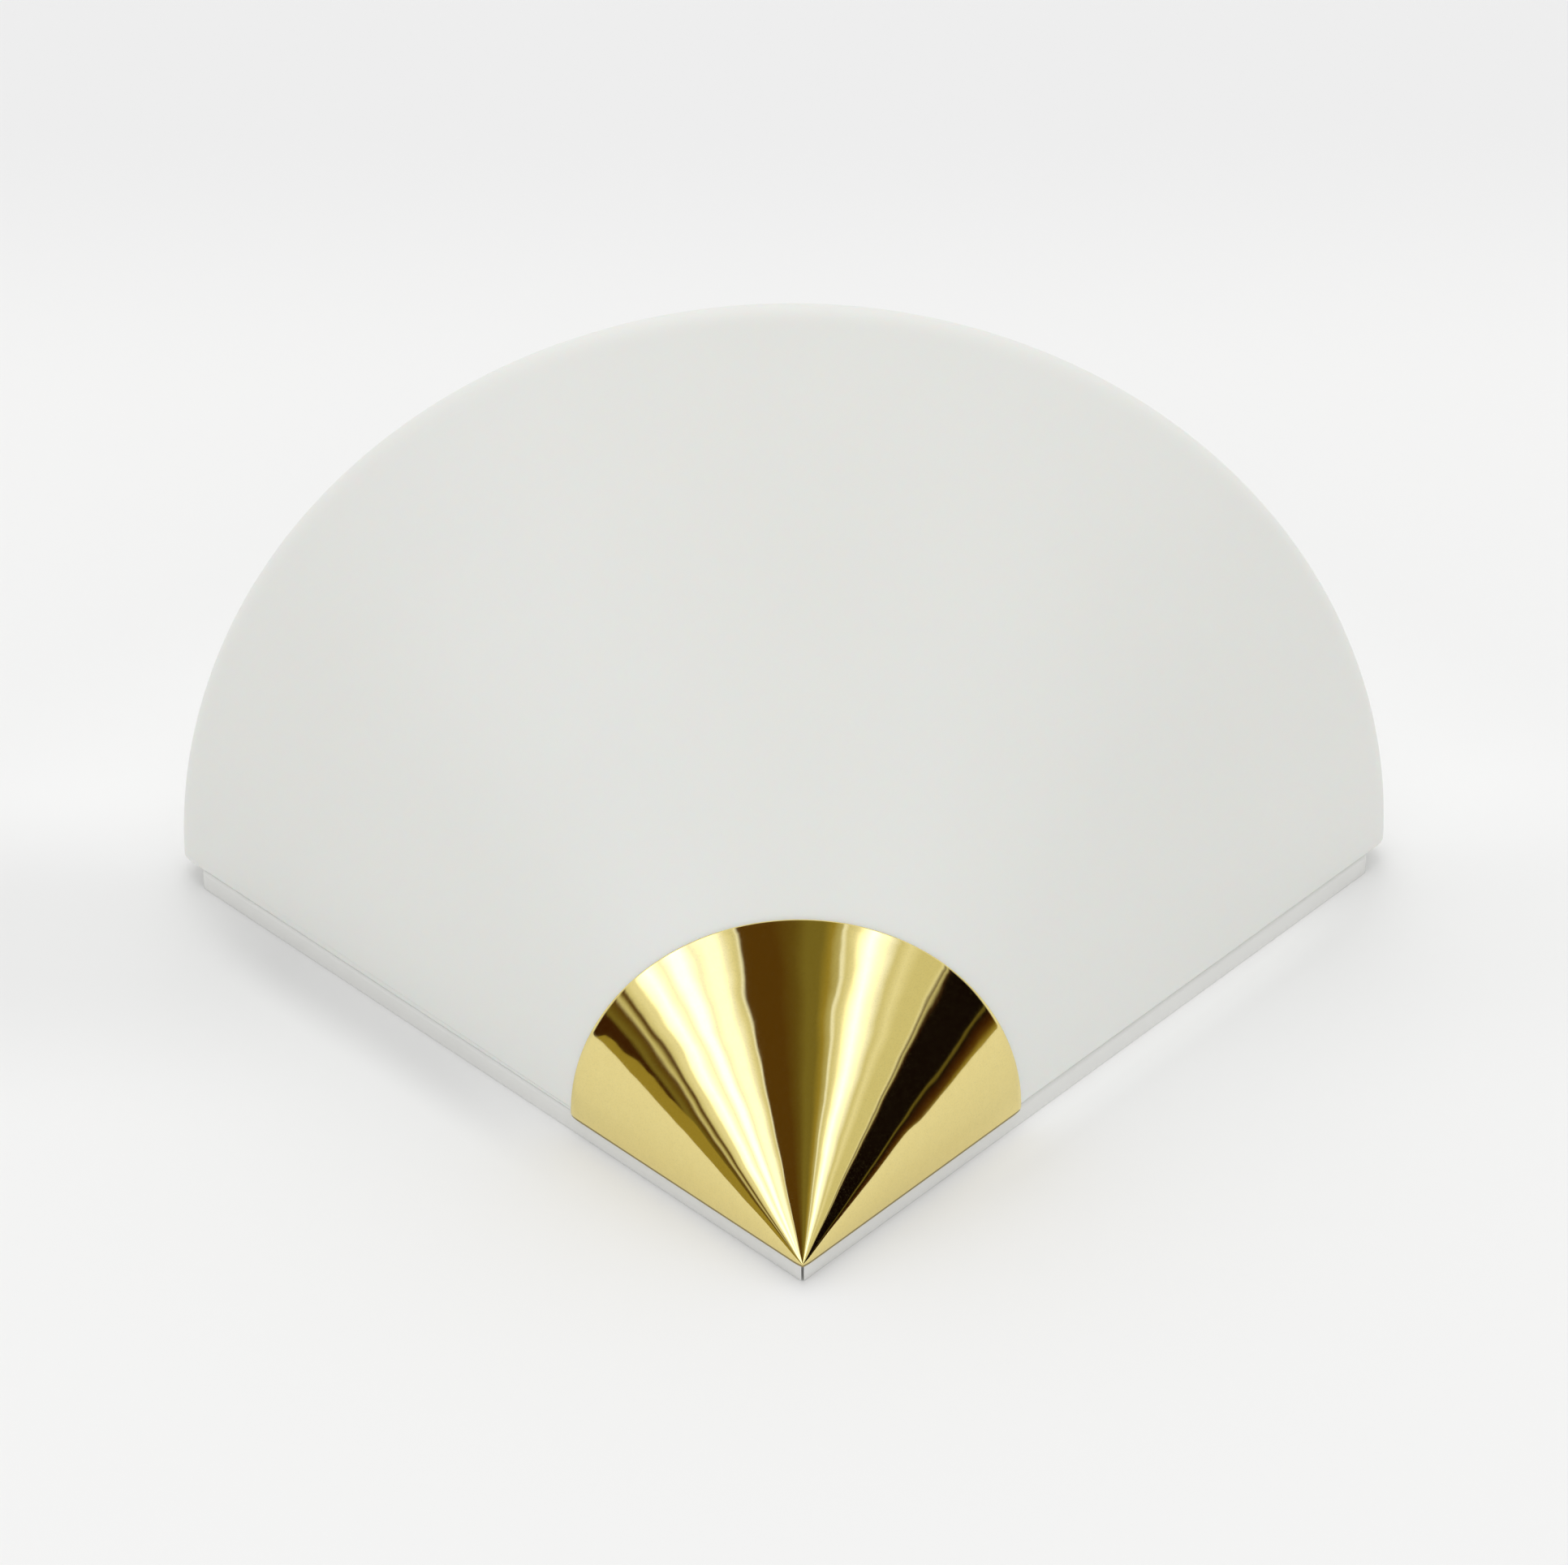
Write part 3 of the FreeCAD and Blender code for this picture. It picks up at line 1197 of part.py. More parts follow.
def knurledNut():
    body = turned("knurled_nut", [
        ("nutBore", "0"), ("nutRadius * 0.8", "0"), ("nutRadius", "nutHeight * 0.2"),
        ("nutRadius", "nutHeight * 0.9"), ("nutRadius * 0.9", "nutHeight"), ("nutBore", "nutHeight"),
    ])
    groove = newSketch(body, "knurlGrooveOutline", "XY_Plane")
    addPolygon(groove, [("nutRadius - knurlGroove", "0"), ("nutRadius + knurlGroove", "-2 * knurlGroove"),
                        ("nutRadius + knurlGroove", "2 * knurlGroove")])
    cut = pocket(body, groove, "nutHeight", reverse=True)
    around = body.newObject("PartDesign::PolarPattern", "knurl")
    around.Originals = [cut]
    around.Axis = (originPart(body, "Z_Axis"), [""])
    around.Angle = 360
    bind(around, "Occurrences", "knurlCount")
    finish(body, around)
    return place(body, depth="plateDepth + studDepth", rise=nutRise)


wallPlate()
tipBracket()
tipRivets()
sideSpring(-1, "side_spring_left")
sideSpring(1, "side_spring_right")
springSleeve(-1, "spring_sleeve_left")
springSleeve(1, "spring_sleeve_right")
springRivets()
lampBracket()
bracketScrews()
bracketNuts()
nipple()
nippleWasher()
nippleNut()
holderCap()
holderSleeve()
contactCarrier()
contactSleeve()
centreTongue()
lampGlass()
lampShell()
lampInsulator()
lampContact()
lampStem()
filament()
terminalBlock()
terminalTubes()
terminalScrews()
blockScrews()
grommet()
earthStud()
earthWasher()
earthTag()
earthNut()
leads()
earthLead()
glassShade()
brassCap()
tipCushion()
capPlug()
capStud()
studWasher()
knurledNut()
doc.recompute()

# Every file is one sub-part: its Label is its name
subparts = [
    "backplate", "tip_bracket", "tip_bracket_rivets", "side_spring_left", "side_spring_right",
    "spring_sleeve_left", "spring_sleeve_right", "spring_rivets", "holder_bracket", "bracket_screws",
    "bracket_nuts", "holder_nipple", "nipple_washer", "nipple_nut", "holder_cap", "holder_body",
    "holder_insert", "contact_sleeve", "centre_contact", "bulb_glass", "bulb_shell", "bulb_insulator",
    "bulb_contact", "bulb_stem", "bulb_filament", "terminal_block", "terminal_tubes", "terminal_screws",
    "terminal_block_screws", "cable_grommet", "earth_stud", "earth_washer", "earth_tag", "earth_nut",
    "live_wire", "neutral_wire", "earth_wire", "glass_shade", "tip_cap", "tip_cushion", "cap_plug",
    "cap_stud", "stud_washer", "knurled_nut",
]
for thing in doc.Objects:
    if {"Invalid", "Error"} & set(thing.State):
        raise RuntimeError(f"{thing.Name} failed: {thing.State}")
os.makedirs("parts", exist_ok=True)
for name in subparts:
    shape = doc.getObjectsByLabel(name)[0].Shape
    if shape.isNull() or not shape.isValid():
        raise RuntimeError(f"{name} has no valid shape")
    shape.exportStep(f"parts/{name}.step")
    box = shape.BoundBox
    print(f"{name}: {len(shape.Solids)} solid, {shape.Volume:.1f} mm3, x {box.XMin:.1f} {box.XMax:.1f}, "
          f"y {box.YMin:.1f} {box.YMax:.1f}, z {box.ZMin:.1f} {box.ZMax:.1f}")
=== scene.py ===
import bpy
import bmesh
import json
import math
from functools import partialmethod
from mathutils import Matrix, Vector


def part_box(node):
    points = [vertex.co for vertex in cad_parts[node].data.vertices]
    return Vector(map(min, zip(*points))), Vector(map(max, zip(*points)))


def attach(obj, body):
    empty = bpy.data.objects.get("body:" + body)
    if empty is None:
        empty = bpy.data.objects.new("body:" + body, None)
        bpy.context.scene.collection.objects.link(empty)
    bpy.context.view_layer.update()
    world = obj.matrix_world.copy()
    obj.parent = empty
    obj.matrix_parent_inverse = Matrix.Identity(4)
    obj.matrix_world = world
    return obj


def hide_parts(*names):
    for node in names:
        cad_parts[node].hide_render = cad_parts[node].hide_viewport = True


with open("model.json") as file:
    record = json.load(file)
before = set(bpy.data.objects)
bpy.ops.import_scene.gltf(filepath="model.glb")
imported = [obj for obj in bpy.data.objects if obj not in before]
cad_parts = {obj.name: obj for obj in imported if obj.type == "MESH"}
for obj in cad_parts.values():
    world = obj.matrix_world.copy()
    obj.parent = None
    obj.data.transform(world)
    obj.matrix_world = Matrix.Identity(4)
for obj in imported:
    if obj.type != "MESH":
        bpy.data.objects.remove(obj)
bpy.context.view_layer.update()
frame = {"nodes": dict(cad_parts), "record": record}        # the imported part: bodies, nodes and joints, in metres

# Shell wall sconce: half-cone opal glass on a folded white wall plate, with a polished brass cap at its
# point. The wall is y = 0 and the light stands out towards -Y. Sizes are millimetres until spot() or
# placed() turns them into metres.

mm = 0.001
scene = bpy.context.scene

shared = {
    "mountRise": 105,      # wall fixings above the plate's point
    "coneSlope": 0.84,     # half width gained per millimetre of rise
    "seatDepth": 5.3,      # flat side of the glass, in front of the wall
    "capReach": 62,        # plate's point to the cap's rim
}
slope = shared["coneSlope"]
slant = math.hypot(1, slope)


def spot(across, rise, depth):
    return Vector((across, -depth, rise - shared["mountRise"])) * mm


def nodeBox(name):
    low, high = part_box(name)
    return low / mm, high / mm


def middleOf(node):
    low, high = nodeBox(node)
    return (low + high) / 2


def lengthOf(node):
    low, high = nodeBox(node)
    return high.x - low.x


def depthsOf(node):
    # back and front of a node, as depths in front of the wall
    low, high = nodeBox(node)
    return -high.y, -low.y


# the camera of the photograph: close to the plane of the wall, on the side of the point
photoView = {
    "lookingDown": 30.980,  # degrees above the plane of the wall
    "turned": -1.204,
    "roll": -0.130,
    "distance": 1660.5,
    "target": (0.65, 219.93),   # across and rise, on the wall
    "frame": 36,                # width of the frame, millimetres
    "pictureWidth": 1932,       # pixels
    "focalLength": 8000,        # pixels
}


def addCamera():
    down, turn, roll = (math.radians(photoView[key]) for key in ("lookingDown", "turned", "roll"))
    # across, rise, depth
    ahead = Vector((-math.sin(turn) * math.cos(down), math.cos(turn) * math.cos(down), -math.sin(down)))
    right = Vector((math.cos(turn), math.sin(turn), 0))
    up = right.cross(ahead)
    right, up = (right * math.cos(roll) + up * math.sin(roll), up * math.cos(roll) - right * math.sin(roll))
    place = Vector((*photoView["target"], 0)) - ahead * photoView["distance"]
    camera = bpy.data.objects.new("camera", bpy.data.cameras.new("camera"))
    camera.data.lens = photoView["focalLength"] * photoView["frame"] / photoView["pictureWidth"]
    camera.data.sensor_width = photoView["frame"]
    camera.data.clip_end = 100
    axes = Matrix([(v.x, -v.z, v.y) for v in (right, up, -ahead)]).transposed()
    camera.matrix_world = Matrix.Translation(spot(*place)) @ axes.to_4x4()
    scene.collection.objects.link(camera)
    scene.camera = camera


addCamera()


class Value:
    # a socket of a node tree that can stand in a sum
    def __init__(self, graph, socket):
        self.graph = graph
        self.socket = socket

    def other(self, name):
        return Value(self.graph, self.socket.node.outputs[name])

    def maths(self, operation, *rest):
        return self.graph.node("ShaderNodeMath", {"operation": operation}, dict(enumerate((self, *rest))))

    def held(self, low, high):
        return self.maths("MAXIMUM", low).maths("MINIMUM", high)

    def eased(self, none, full):
        # from 0 to 1 between two values, with soft ends
        return self.graph.node("ShaderNodeMapRange", {"interpolation_type": "SMOOTHSTEP"},
                               {0: self, 1: none, 2: full})

    __add__ = __radd__ = partialmethod(maths, "ADD")
    __mul__ = __rmul__ = partialmethod(maths, "MULTIPLY")
    __sub__ = partialmethod(maths, "SUBTRACT")
    __truediv__ = partialmethod(maths, "DIVIDE")
    __pow__ = partialmethod(maths, "POWER")
    __gt__ = partialmethod(maths, "GREATER_THAN")
    __lt__ = partialmethod(maths, "LESS_THAN")

    def __rsub__(self, other):
        return self.graph.node("ShaderNodeMath", {"operation": "SUBTRACT"}, {0: other, 1: self})


class Graph:
    # one node tree: every node comes from node()
    def __init__(self, tree):
        self.tree = tree

    def node(self, kind, settings=None, inputs=None, output=0):
        node = self.tree.nodes.new(kind)
        for name, setting in (settings or {}).items():
            if name == "stops":
                ramp = node.color_ramp
                while len(ramp.elements) < len(setting):
                    ramp.elements.new(1)
                for element, (position, colour) in zip(ramp.elements, setting):
                    element.position = position
                    element.color = (*colour, 1)
            else:
                setattr(node, name, setting)
        for key, given in (inputs or {}).items():
            if isinstance(given, Value):
                self.tree.links.new(given.socket, node.inputs[key])
            elif isinstance(given, tuple) and len(given) == 3 and len(node.inputs[key].default_value) == 4:
                node.inputs[key].default_value = (*given, 1)
            else:
                node.inputs[key].default_value = given
        return Value(self, node.outputs[output]) if node.outputs else None

    def blend(self, factor, first, second, way="MIX"):
        return self.node("ShaderNodeMix", {"data_type": "RGBA", "blend_type": way},
                         {0: factor, 6: first, 7: second}, output=2)

    def parts(self, vector):
        split = self.node("ShaderNodeSeparateXYZ", inputs={0: vector})
        return [Value(self, socket) for socket in split.socket.node.outputs]


class Finish(Graph):
    # a material on the piece's own object coordinates
    def __init__(self, name):
        self.material = bpy.data.materials.new(name)
        self.material.use_nodes = True
        super().__init__(self.material.node_tree)
        self.tree.nodes.clear()
        self.coords = self.node("ShaderNodeTexCoord", output=3)

    def stretched(self, scale):
        return self.node("ShaderNodeMapping", inputs={0: self.coords, 3: scale})

    def noise(self, perMetre, detail=3, coarse=0.5, coords=None):
        return self.node("ShaderNodeTexNoise", inputs={
            "Vector": coords or self.coords, "Scale": perMetre, "Detail": detail, "Roughness": coarse})

    def bump(self, height, strength, distance, below=None):
        inputs = {"Strength": strength, "Distance": distance, "Height": height}
        if below:
            inputs["Normal"] = below
        return self.node("ShaderNodeBump", inputs=inputs)

    def done(self, **sockets):
        inputs = {name.replace("_", " "): given for name, given in sockets.items()}
        shader = self.node("ShaderNodeBsdfPrincipled", inputs=inputs)
        self.node("ShaderNodeOutputMaterial", inputs={0: shader})
        return self.material


metals = {
    "brass_plain": {
        "colour": (0.78, 0.57, 0.24), "stained": (0.62, 0.43, 0.16), "rough": 0.28, "relief": 0.35,
        "grain": 900, "drawn": (1, 1, 0.2)},
    "zinc_steel": {
        "colour": (0.62, 0.64, 0.66), "stained": (0.5, 0.52, 0.54), "rough": 0.34,
        "relief": 0.3, "grain": 1100},
    "spring_steel": {
        "colour": (0.55, 0.56, 0.57), "stained": (0.44, 0.45, 0.47), "rough": 0.26, "relief": 0.3,
        "grain": 1400, "drawn": (0.2, 1, 1)},
    "rivet_alloy": {
        "colour": (0.74, 0.75, 0.76), "stained": (0.62, 0.63, 0.64), "rough": 0.4,
        "relief": 0.4, "grain": 1300},
    "lamp_aluminium": {
        "colour": (0.8, 0.8, 0.79), "stained": (0.68, 0.68, 0.67), "rough": 0.27, "relief": 0.3,
        "grain": 1000, "drawn": (0.2, 1, 1)},
    "lamp_solder": {
        "colour": (0.6, 0.61, 0.62), "stained": (0.44, 0.45, 0.46), "rough": 0.42,
        "relief": 0.8, "grain": 700},
    "tungsten": {
        "colour": (0.36, 0.36, 0.37), "stained": (0.28, 0.28, 0.29), "rough": 0.45,
        "relief": 0.3, "grain": 3000},
}
mouldings = {
    "silicone": {
        "colour": (0.75, 0.76, 0.76), "shade": (0.66, 0.67, 0.67), "rough": 0.5,
        "relief": 0.25, "grain": 1800, "soft": 0.3},
    "white_rubber": {
        "colour": (0.66, 0.66, 0.64), "shade": (0.56, 0.56, 0.54), "rough": 0.62,
        "relief": 0.5, "grain": 1500},
    "holder_plastic": {
        "colour": (0.76, 0.75, 0.71), "shade": (0.7, 0.69, 0.65), "rough": 0.3,
        "relief": 0.25, "grain": 1100},
    "porcelain": {
        "colour": (0.8, 0.78, 0.74), "shade": (0.73, 0.71, 0.66), "rough": 0.3,
        "relief": 0.4, "grain": 1600},
    "block_plastic": {
        "colour": (0.7, 0.69, 0.64), "shade": (0.62, 0.61, 0.56), "rough": 0.42,
        "relief": 0.3, "grain": 1500, "soft": 0.15},
    "black_glass": {
        "colour": (0.015, 0.013, 0.016), "shade": (0.03, 0.026, 0.03), "rough": 0.12, "relief": 0.15,
        "grain": 500},
    "wire_brown": {
        "colour": (0.17, 0.07, 0.03), "shade": (0.11, 0.045, 0.02), "rough": 0.42,
        "relief": 0.25, "grain": 1500},
    "wire_blue": {
        "colour": (0.04, 0.16, 0.44), "shade": (0.03, 0.11, 0.33), "rough": 0.42,
        "relief": 0.25, "grain": 1500},
}
# patches and scratches are coarser than the grain by these shares; the others are added roughness
metalWear = {"stains": 0.06, "scratches": 0.4, "scratchLimit": 0.66,
             "stainRough": 0.2, "drawnRough": 0.1, "scratchRough": 0.08}
mouldedWear = {"clouds": 0.03, "cloudRough": 0.12, "skinRough": 0.06}


def metalFinish(name, look):
    finish = Finish(name)
    drawn = finish.noise(look["grain"], 4, 0.6, finish.stretched(look.get("drawn", (1, 1, 1))))
    stain = finish.noise(look["grain"] * metalWear["stains"], 3, 0.6)
    scratch = finish.noise(look["grain"] * metalWear["scratches"], 5, 0.7, finish.stretched((1, 0.15, 1)))
    rough = look["rough"] + (stain - 0.5) * metalWear["stainRough"] + (drawn - 0.5) * metalWear["drawnRough"]
    rough = rough + (scratch > metalWear["scratchLimit"]) * metalWear["scratchRough"]
    return finish.done(Base_Color=finish.blend(stain, look["colour"], look["stained"]), Metallic=1.0,
                       Roughness=rough, Normal=finish.bump(drawn, look["relief"], 0.00005))


def mouldedFinish(name, look):
    finish = Finish(name)
    skin = finish.noise(look["grain"], 2, 0.55)
    cloud = finish.noise(look["grain"] * mouldedWear["clouds"], 3, 0.5)
    rough = (cloud - 0.5) * mouldedWear["cloudRough"] + (skin - 0.5) * mouldedWear["skinRough"]
    return finish.done(Base_Color=finish.blend(cloud, look["colour"], look["shade"]),
                       Roughness=rough + look["rough"], Normal=finish.bump(skin, look["relief"], 0.00006),
                       Subsurface_Weight=look.get("soft", 0.0), Subsurface_Scale=0.001)


opalLook = {
    "colour": (0.83, 0.838, 0.803), "clouded": (0.8, 0.81, 0.775), "rough": 0.46,
    "clouds": 14, "grain": 420,    # per metre
    "depth": 0.003,                # metres that light goes under the skin
}


def opalFinish():
    # white glass, etched dull outside: a faint cloud in the white and a very fine grain
    finish = Finish("opal_glass")
    cloud = finish.noise(opalLook["clouds"], 3, 0.5)
    skin = finish.noise(opalLook["grain"], 2, 0.5)
    return finish.done(Base_Color=finish.blend(cloud, opalLook["colour"], opalLook["clouded"]),
                       Roughness=opalLook["rough"] + (skin - 0.5) * 0.1, IOR=1.5, Specular_IOR_Level=0.3,
                       Normal=finish.bump(skin, 0.12, 0.0001), Subsurface_Weight=0.2,
                       Subsurface_Scale=opalLook["depth"])


brassLook = {
    "colour": (0.86, 0.725, 0.3), "mottled": (0.81, 0.67, 0.26), "specks": (0.6, 0.52, 0.24),
    "dullEdgeAndShade": (0.22, 0.17, 0.07),
    "edgeDepth": 0.0051,      # metres; behind this the sheet's cut edge is duller and painted darker as shade
    "rough": 0.025,
    "waves": 30, "waveRelief": 0.0007,        # left by the buffing wheel
    "ripples": 110, "rippleRelief": 0.00003,
    "hairGrain": 1400, "mottleGrain": 420, "speckGrain": 2600, "dustGrain": 1700,
    "dust": 0.02,
}


def polishedBrassFinish():
    # polished and lacquered: long soft waves, fine hairs and dust, and a duller cut edge at the back with a dark
    # line of painted shade on it
    finish = Finish("polished_brass")
    depth = finish.parts(finish.coords)[1] * -1
    wave = finish.noise(brassLook["waves"], 2, 0.4)
    ripple = finish.noise(brassLook["ripples"], 2, 0.5, finish.stretched((1, 1, 0.3)))
    hair = finish.noise(brassLook["hairGrain"], 4, 0.6, finish.stretched((1, 1, 0.06)))
    mottle = finish.noise(brassLook["mottleGrain"], 4, 0.65)
    speck = finish.noise(brassLook["speckGrain"], 2, 0.6)
    dust = ((finish.noise(brassLook["dustGrain"], 5, 0.75) - 0.5) * 5).held(0, 1)
    dullEdgeAndShade = depth < brassLook["edgeDepth"]
    tone = finish.blend(mottle, brassLook["colour"], brassLook["mottled"])
    tone = finish.blend((speck - 0.5).held(0, 1) * 1.2, tone, brassLook["specks"])
    # painted shade: the back edge darkened, standing in for the shadow under the cap's rim
    tone = finish.blend(dullEdgeAndShade * 0.85, tone, brassLook["dullEdgeAndShade"])
    rough = brassLook["rough"] + hair * 0.05 + (mottle - 0.5).held(0, 1) * 0.06 + dullEdgeAndShade * 0.2
    relief = finish.bump(wave, 1.0, brassLook["waveRelief"])
    relief = finish.bump(ripple, 1.0, brassLook["rippleRelief"], relief)
    return finish.done(Base_Color=tone, Metallic=1 - dust * brassLook["dust"], Roughness=rough,
                       Normal=relief, Coat_Weight=0.2, Coat_Roughness=0.03)


paintLook = {"colour": (0.8, 0.8, 0.775), "dusty": (0.765, 0.765, 0.74), "rough": 0.34, "peel": 650,
             "dust": 60}


def paintFinish():
    # white stoved paint with a little orange peel
    finish = Finish("white_paint")
    peel = finish.noise(paintLook["peel"], 2, 0.5)
    dust = finish.noise(paintLook["dust"], 3, 0.6)
    return finish.done(Base_Color=finish.blend(dust, paintLook["colour"], paintLook["dusty"]),
                       Roughness=paintLook["rough"] + (peel - 0.5) * 0.12,
                       Normal=finish.bump(peel, 0.3, 0.00008))


stripeLook = {"yellow": (0.62, 0.52, 0.03), "green": (0.03, 0.27, 0.07), "perMetre": 2850, "yellowFrom": 0.2}


def stripedWireFinish():
    finish = Finish("wire_green_yellow")
    band = (finish.parts(finish.coords)[2] * stripeLook["perMetre"]).maths("SINE") > stripeLook["yellowFrom"]
    skin = finish.noise(1500, 2, 0.5)
    return finish.done(Base_Color=finish.blend(band, stripeLook["yellow"], stripeLook["green"]),
                       Roughness=0.4 + (skin - 0.5) * 0.08, Normal=finish.bump(skin, 0.25, 0.00006))


clearLook = {
    "lamp_glass": {
        "colour": (0.9, 0.9, 0.88), "dull": (0.86, 0.86, 0.84), "clear": 0.45, "bends": 1.45,
        "rough": 0.32, "uneven": 0.2, "haze": (900, 3, 0.6), "relief": (0.2, 0.0001)},
    "stem_glass": {
        "colour": (0.95, 0.97, 0.96), "dull": (0.9, 0.93, 0.92), "clear": 0.9, "bends": 1.5,
        "rough": 0.04, "uneven": 0.04, "haze": (120, 2, 0.5), "relief": (0.1, 0.0004)},
}


def clearFinish(name, look):
    finish = Finish(name)
    haze = finish.noise(*look["haze"])
    return finish.done(Base_Color=finish.blend(haze, look["colour"], look["dull"]), IOR=look["bends"],
                       Roughness=look["rough"] + haze * look["uneven"], Transmission_Weight=look["clear"],
                       Normal=finish.bump(haze, *look["relief"]))


finishes = {
    "opal_glass": opalFinish(), "polished_brass": polishedBrassFinish(), "white_paint": paintFinish(),
    "wire_green_yellow": stripedWireFinish(),
}
for make, looks in ((metalFinish, metals), (mouldedFinish, mouldings), (clearFinish, clearLook)):
    finishes.update({name: make(name, look) for name, look in looks.items()})
print("finishes made:", len(finishes))

slotOf = {entry["node"]: entry["material_slot"] for entry in frame["record"]["subparts"]}
bodyOf = {name: body for body, names in frame["record"]["behaviour"]["bodies"].items() for name in names}


def standsFor(piece, node):
    scene.collection.objects.link(piece)
    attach(piece, bodyOf[node])
    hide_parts(node)
    return piece


def finishPiece(name, mesh, node, sharpAngle=35):
    for polygon in mesh.polygons:
        polygon.use_smooth = True
    mesh.set_sharp_from_angle(angle=math.radians(sharpAngle))
    mesh.materials.clear()
    mesh.materials.append(finishes[slotOf[node]])
    return standsFor(bpy.data.objects.new(name, mesh), node)


# The leads follow the routes of their solids; a smooth curve between the points
leadLook = {"radius": 1.1, "sides": 5, "steps": 16}
leadRoutes = {
    "live_wire": [(-12.5, 96, 12.6), (-36.4, 96, 12.6), (-63.2, 108, 12.6), (-92.2, 133, 16.6),
                  (-96.4, 148, 29), (-94.0, 151.5, 45), (-83.0, 151.5, 47), (-54.3, 151.5, 47)],
    "neutral_wire": [(-12.5, 84, 12.6), (-36.4, 84, 12.6), (-64.7, 99, 12.6), (-92.2, 128, 16.2),
                     (-97.0, 142, 27), (-94.6, 148.5, 44), (-83.0, 148.5, 47), (-54.3, 148.5, 47)],
    "earth_wire": [(-12.5, 72, 12.6), (-19.5, 72, 12.6), (-27, 72, 7.8), (-31.5, 72, 7.8)],
}
leadLengths = {"live_wire": 163, "neutral_wire": 169}    # cut length; the earth lead is too short to hang


def lead(node, route):
    curve = bpy.data.curves.new(node, "CURVE")
    curve.dimensions = "3D"
    curve.bevel_depth = leadLook["radius"] * mm
    curve.bevel_resolution = leadLook["sides"]
    curve.use_fill_caps = True
    curve.resolution_u = leadLook["steps"]
    run = curve.splines.new("NURBS")
    run.points.add(len(route) - 1)
    for point, place in zip(run.points, route):
        point.co = (*spot(*place), 1)
    run.order_u = 3
    run.use_endpoint_u = True
    curve.materials.append(finishes[slotOf[node]])
    piece = standsFor(bpy.data.objects.new(node + "_lead", curve), node)
    if node in leadLengths:
        spot(*route[0])


for node, route in leadRoutes.items():
    lead(node, route)
print("leads made")


def holding(name, mesh):
    holder = bpy.data.objects.new(name, mesh)
    scene.collection.objects.link(holder)
    return holder


def shapeOf(holder):
    # the object's finished shape as a plain mesh; the object itself goes
    result = bpy.data.meshes.new_from_object(holder.evaluated_get(bpy.context.evaluated_depsgraph_get()))
    bpy.data.objects.remove(holder)
    return result


def meshFrom(work, name):
    mesh = bpy.data.meshes.new(name)
    work.to_mesh(mesh)
    work.free()
    return mesh


def applied(name, mesh, kind, settings):
    # the mesh with one modifier applied
    holder = holding(name, mesh)
    modifier = holder.modifiers.new(kind, kind)
    for key, setting in settings.items():
        setattr(modifier, key, setting)
    return shapeOf(holder)


def bevelled(name, mesh, width, angle, segments):
    # every edge sharper than the angle is rounded
    return applied(name, mesh, "BEVEL", {"width": width * mm, "segments": segments, "limit_method": "ANGLE",
                                         "angle_limit": math.radians(angle)})


# metres for the merge, then degrees: flatter edges are dissolved and sharper ones rounded
refineLook = {"merge": 2e-6, "flat": 0.4, "sharp": 30}


def refined(node, width):
    # copy of the CAD mesh, merged, with its sharp edges rounded
    mesh = frame["nodes"][node].data.copy()
    work = bmesh.new()
    work.from_mesh(mesh)
    bmesh.ops.remove_doubles(work, verts=work.verts, dist=refineLook["merge"])
    bmesh.ops.dissolve_limit(work, angle_limit=math.radians(refineLook["flat"]), verts=work.verts,
                             edges=work.edges)
    work.to_mesh(mesh)
    work.free()
    return bevelled(node + "_rounding", mesh, width, refineLook["sharp"], 2)


def softened(corners, steps=6):
    # outline of (x, y) or (x, y, radius): a corner with a radius becomes an arc
    points = []
    for number, corner in enumerate(corners):
        here = Vector(corner[:2])
        if len(corner) < 3:
            points.append(here)
            continue
        back = (Vector(corners[number - 1][:2]) - here).normalized()
        ahead = Vector(corners[(number + 1) % len(corners)][:2])
        ahead = (ahead - here).normalized()
        half = back.angle(ahead) / 2
        centre = here + (back + ahead).normalized() * (corner[2] / math.sin(half))
        start = here + back * (corner[2] / math.tan(half)) - centre
        turn = start.angle_signed(here + ahead * (corner[2] / math.tan(half)) - centre)
        for step in range(steps + 1):
            points.append(centre + Matrix.Rotation(-turn * step / steps, 2) @ start)
    return points


def divided(points, step, closed):
    # more points on the upright runs, where a thread or ribs are pressed in
    result = []
    for number, here in enumerate(points):
        result.append(here)
        if number == len(points) - 1 and not closed:
            break
        ahead = points[(number + 1) % len(points)]
        count = int((ahead - here).length / step)
        if abs(ahead.x - here.x) < 0.01 and count > 1:
            result += [here.lerp(ahead, share / count) for share in range(1, count)]
    return result


def newTree(name, inputs):
    tree = bpy.data.node_groups.new(name, "GeometryNodeTree")
    for title, kind in inputs.items():
        tree.interface.new_socket(name=title, in_out="INPUT", socket_type="NodeSocket" + kind)
    tree.interface.new_socket(name="Result", in_out="OUTPUT", socket_type="NodeSocketGeometry")
    graph = Graph(tree)
    return graph, graph.node("NodeGroupInput")


def endTree(graph, given, geometry):
    real = graph.node("GeometryNodeRealizeInstances", inputs={0: geometry})
    real = graph.node("GeometryNodeSetMaterial", inputs={0: real, "Material": given.other("Finish")})
    graph.node("NodeGroupOutput", inputs={0: real})
    return graph.tree


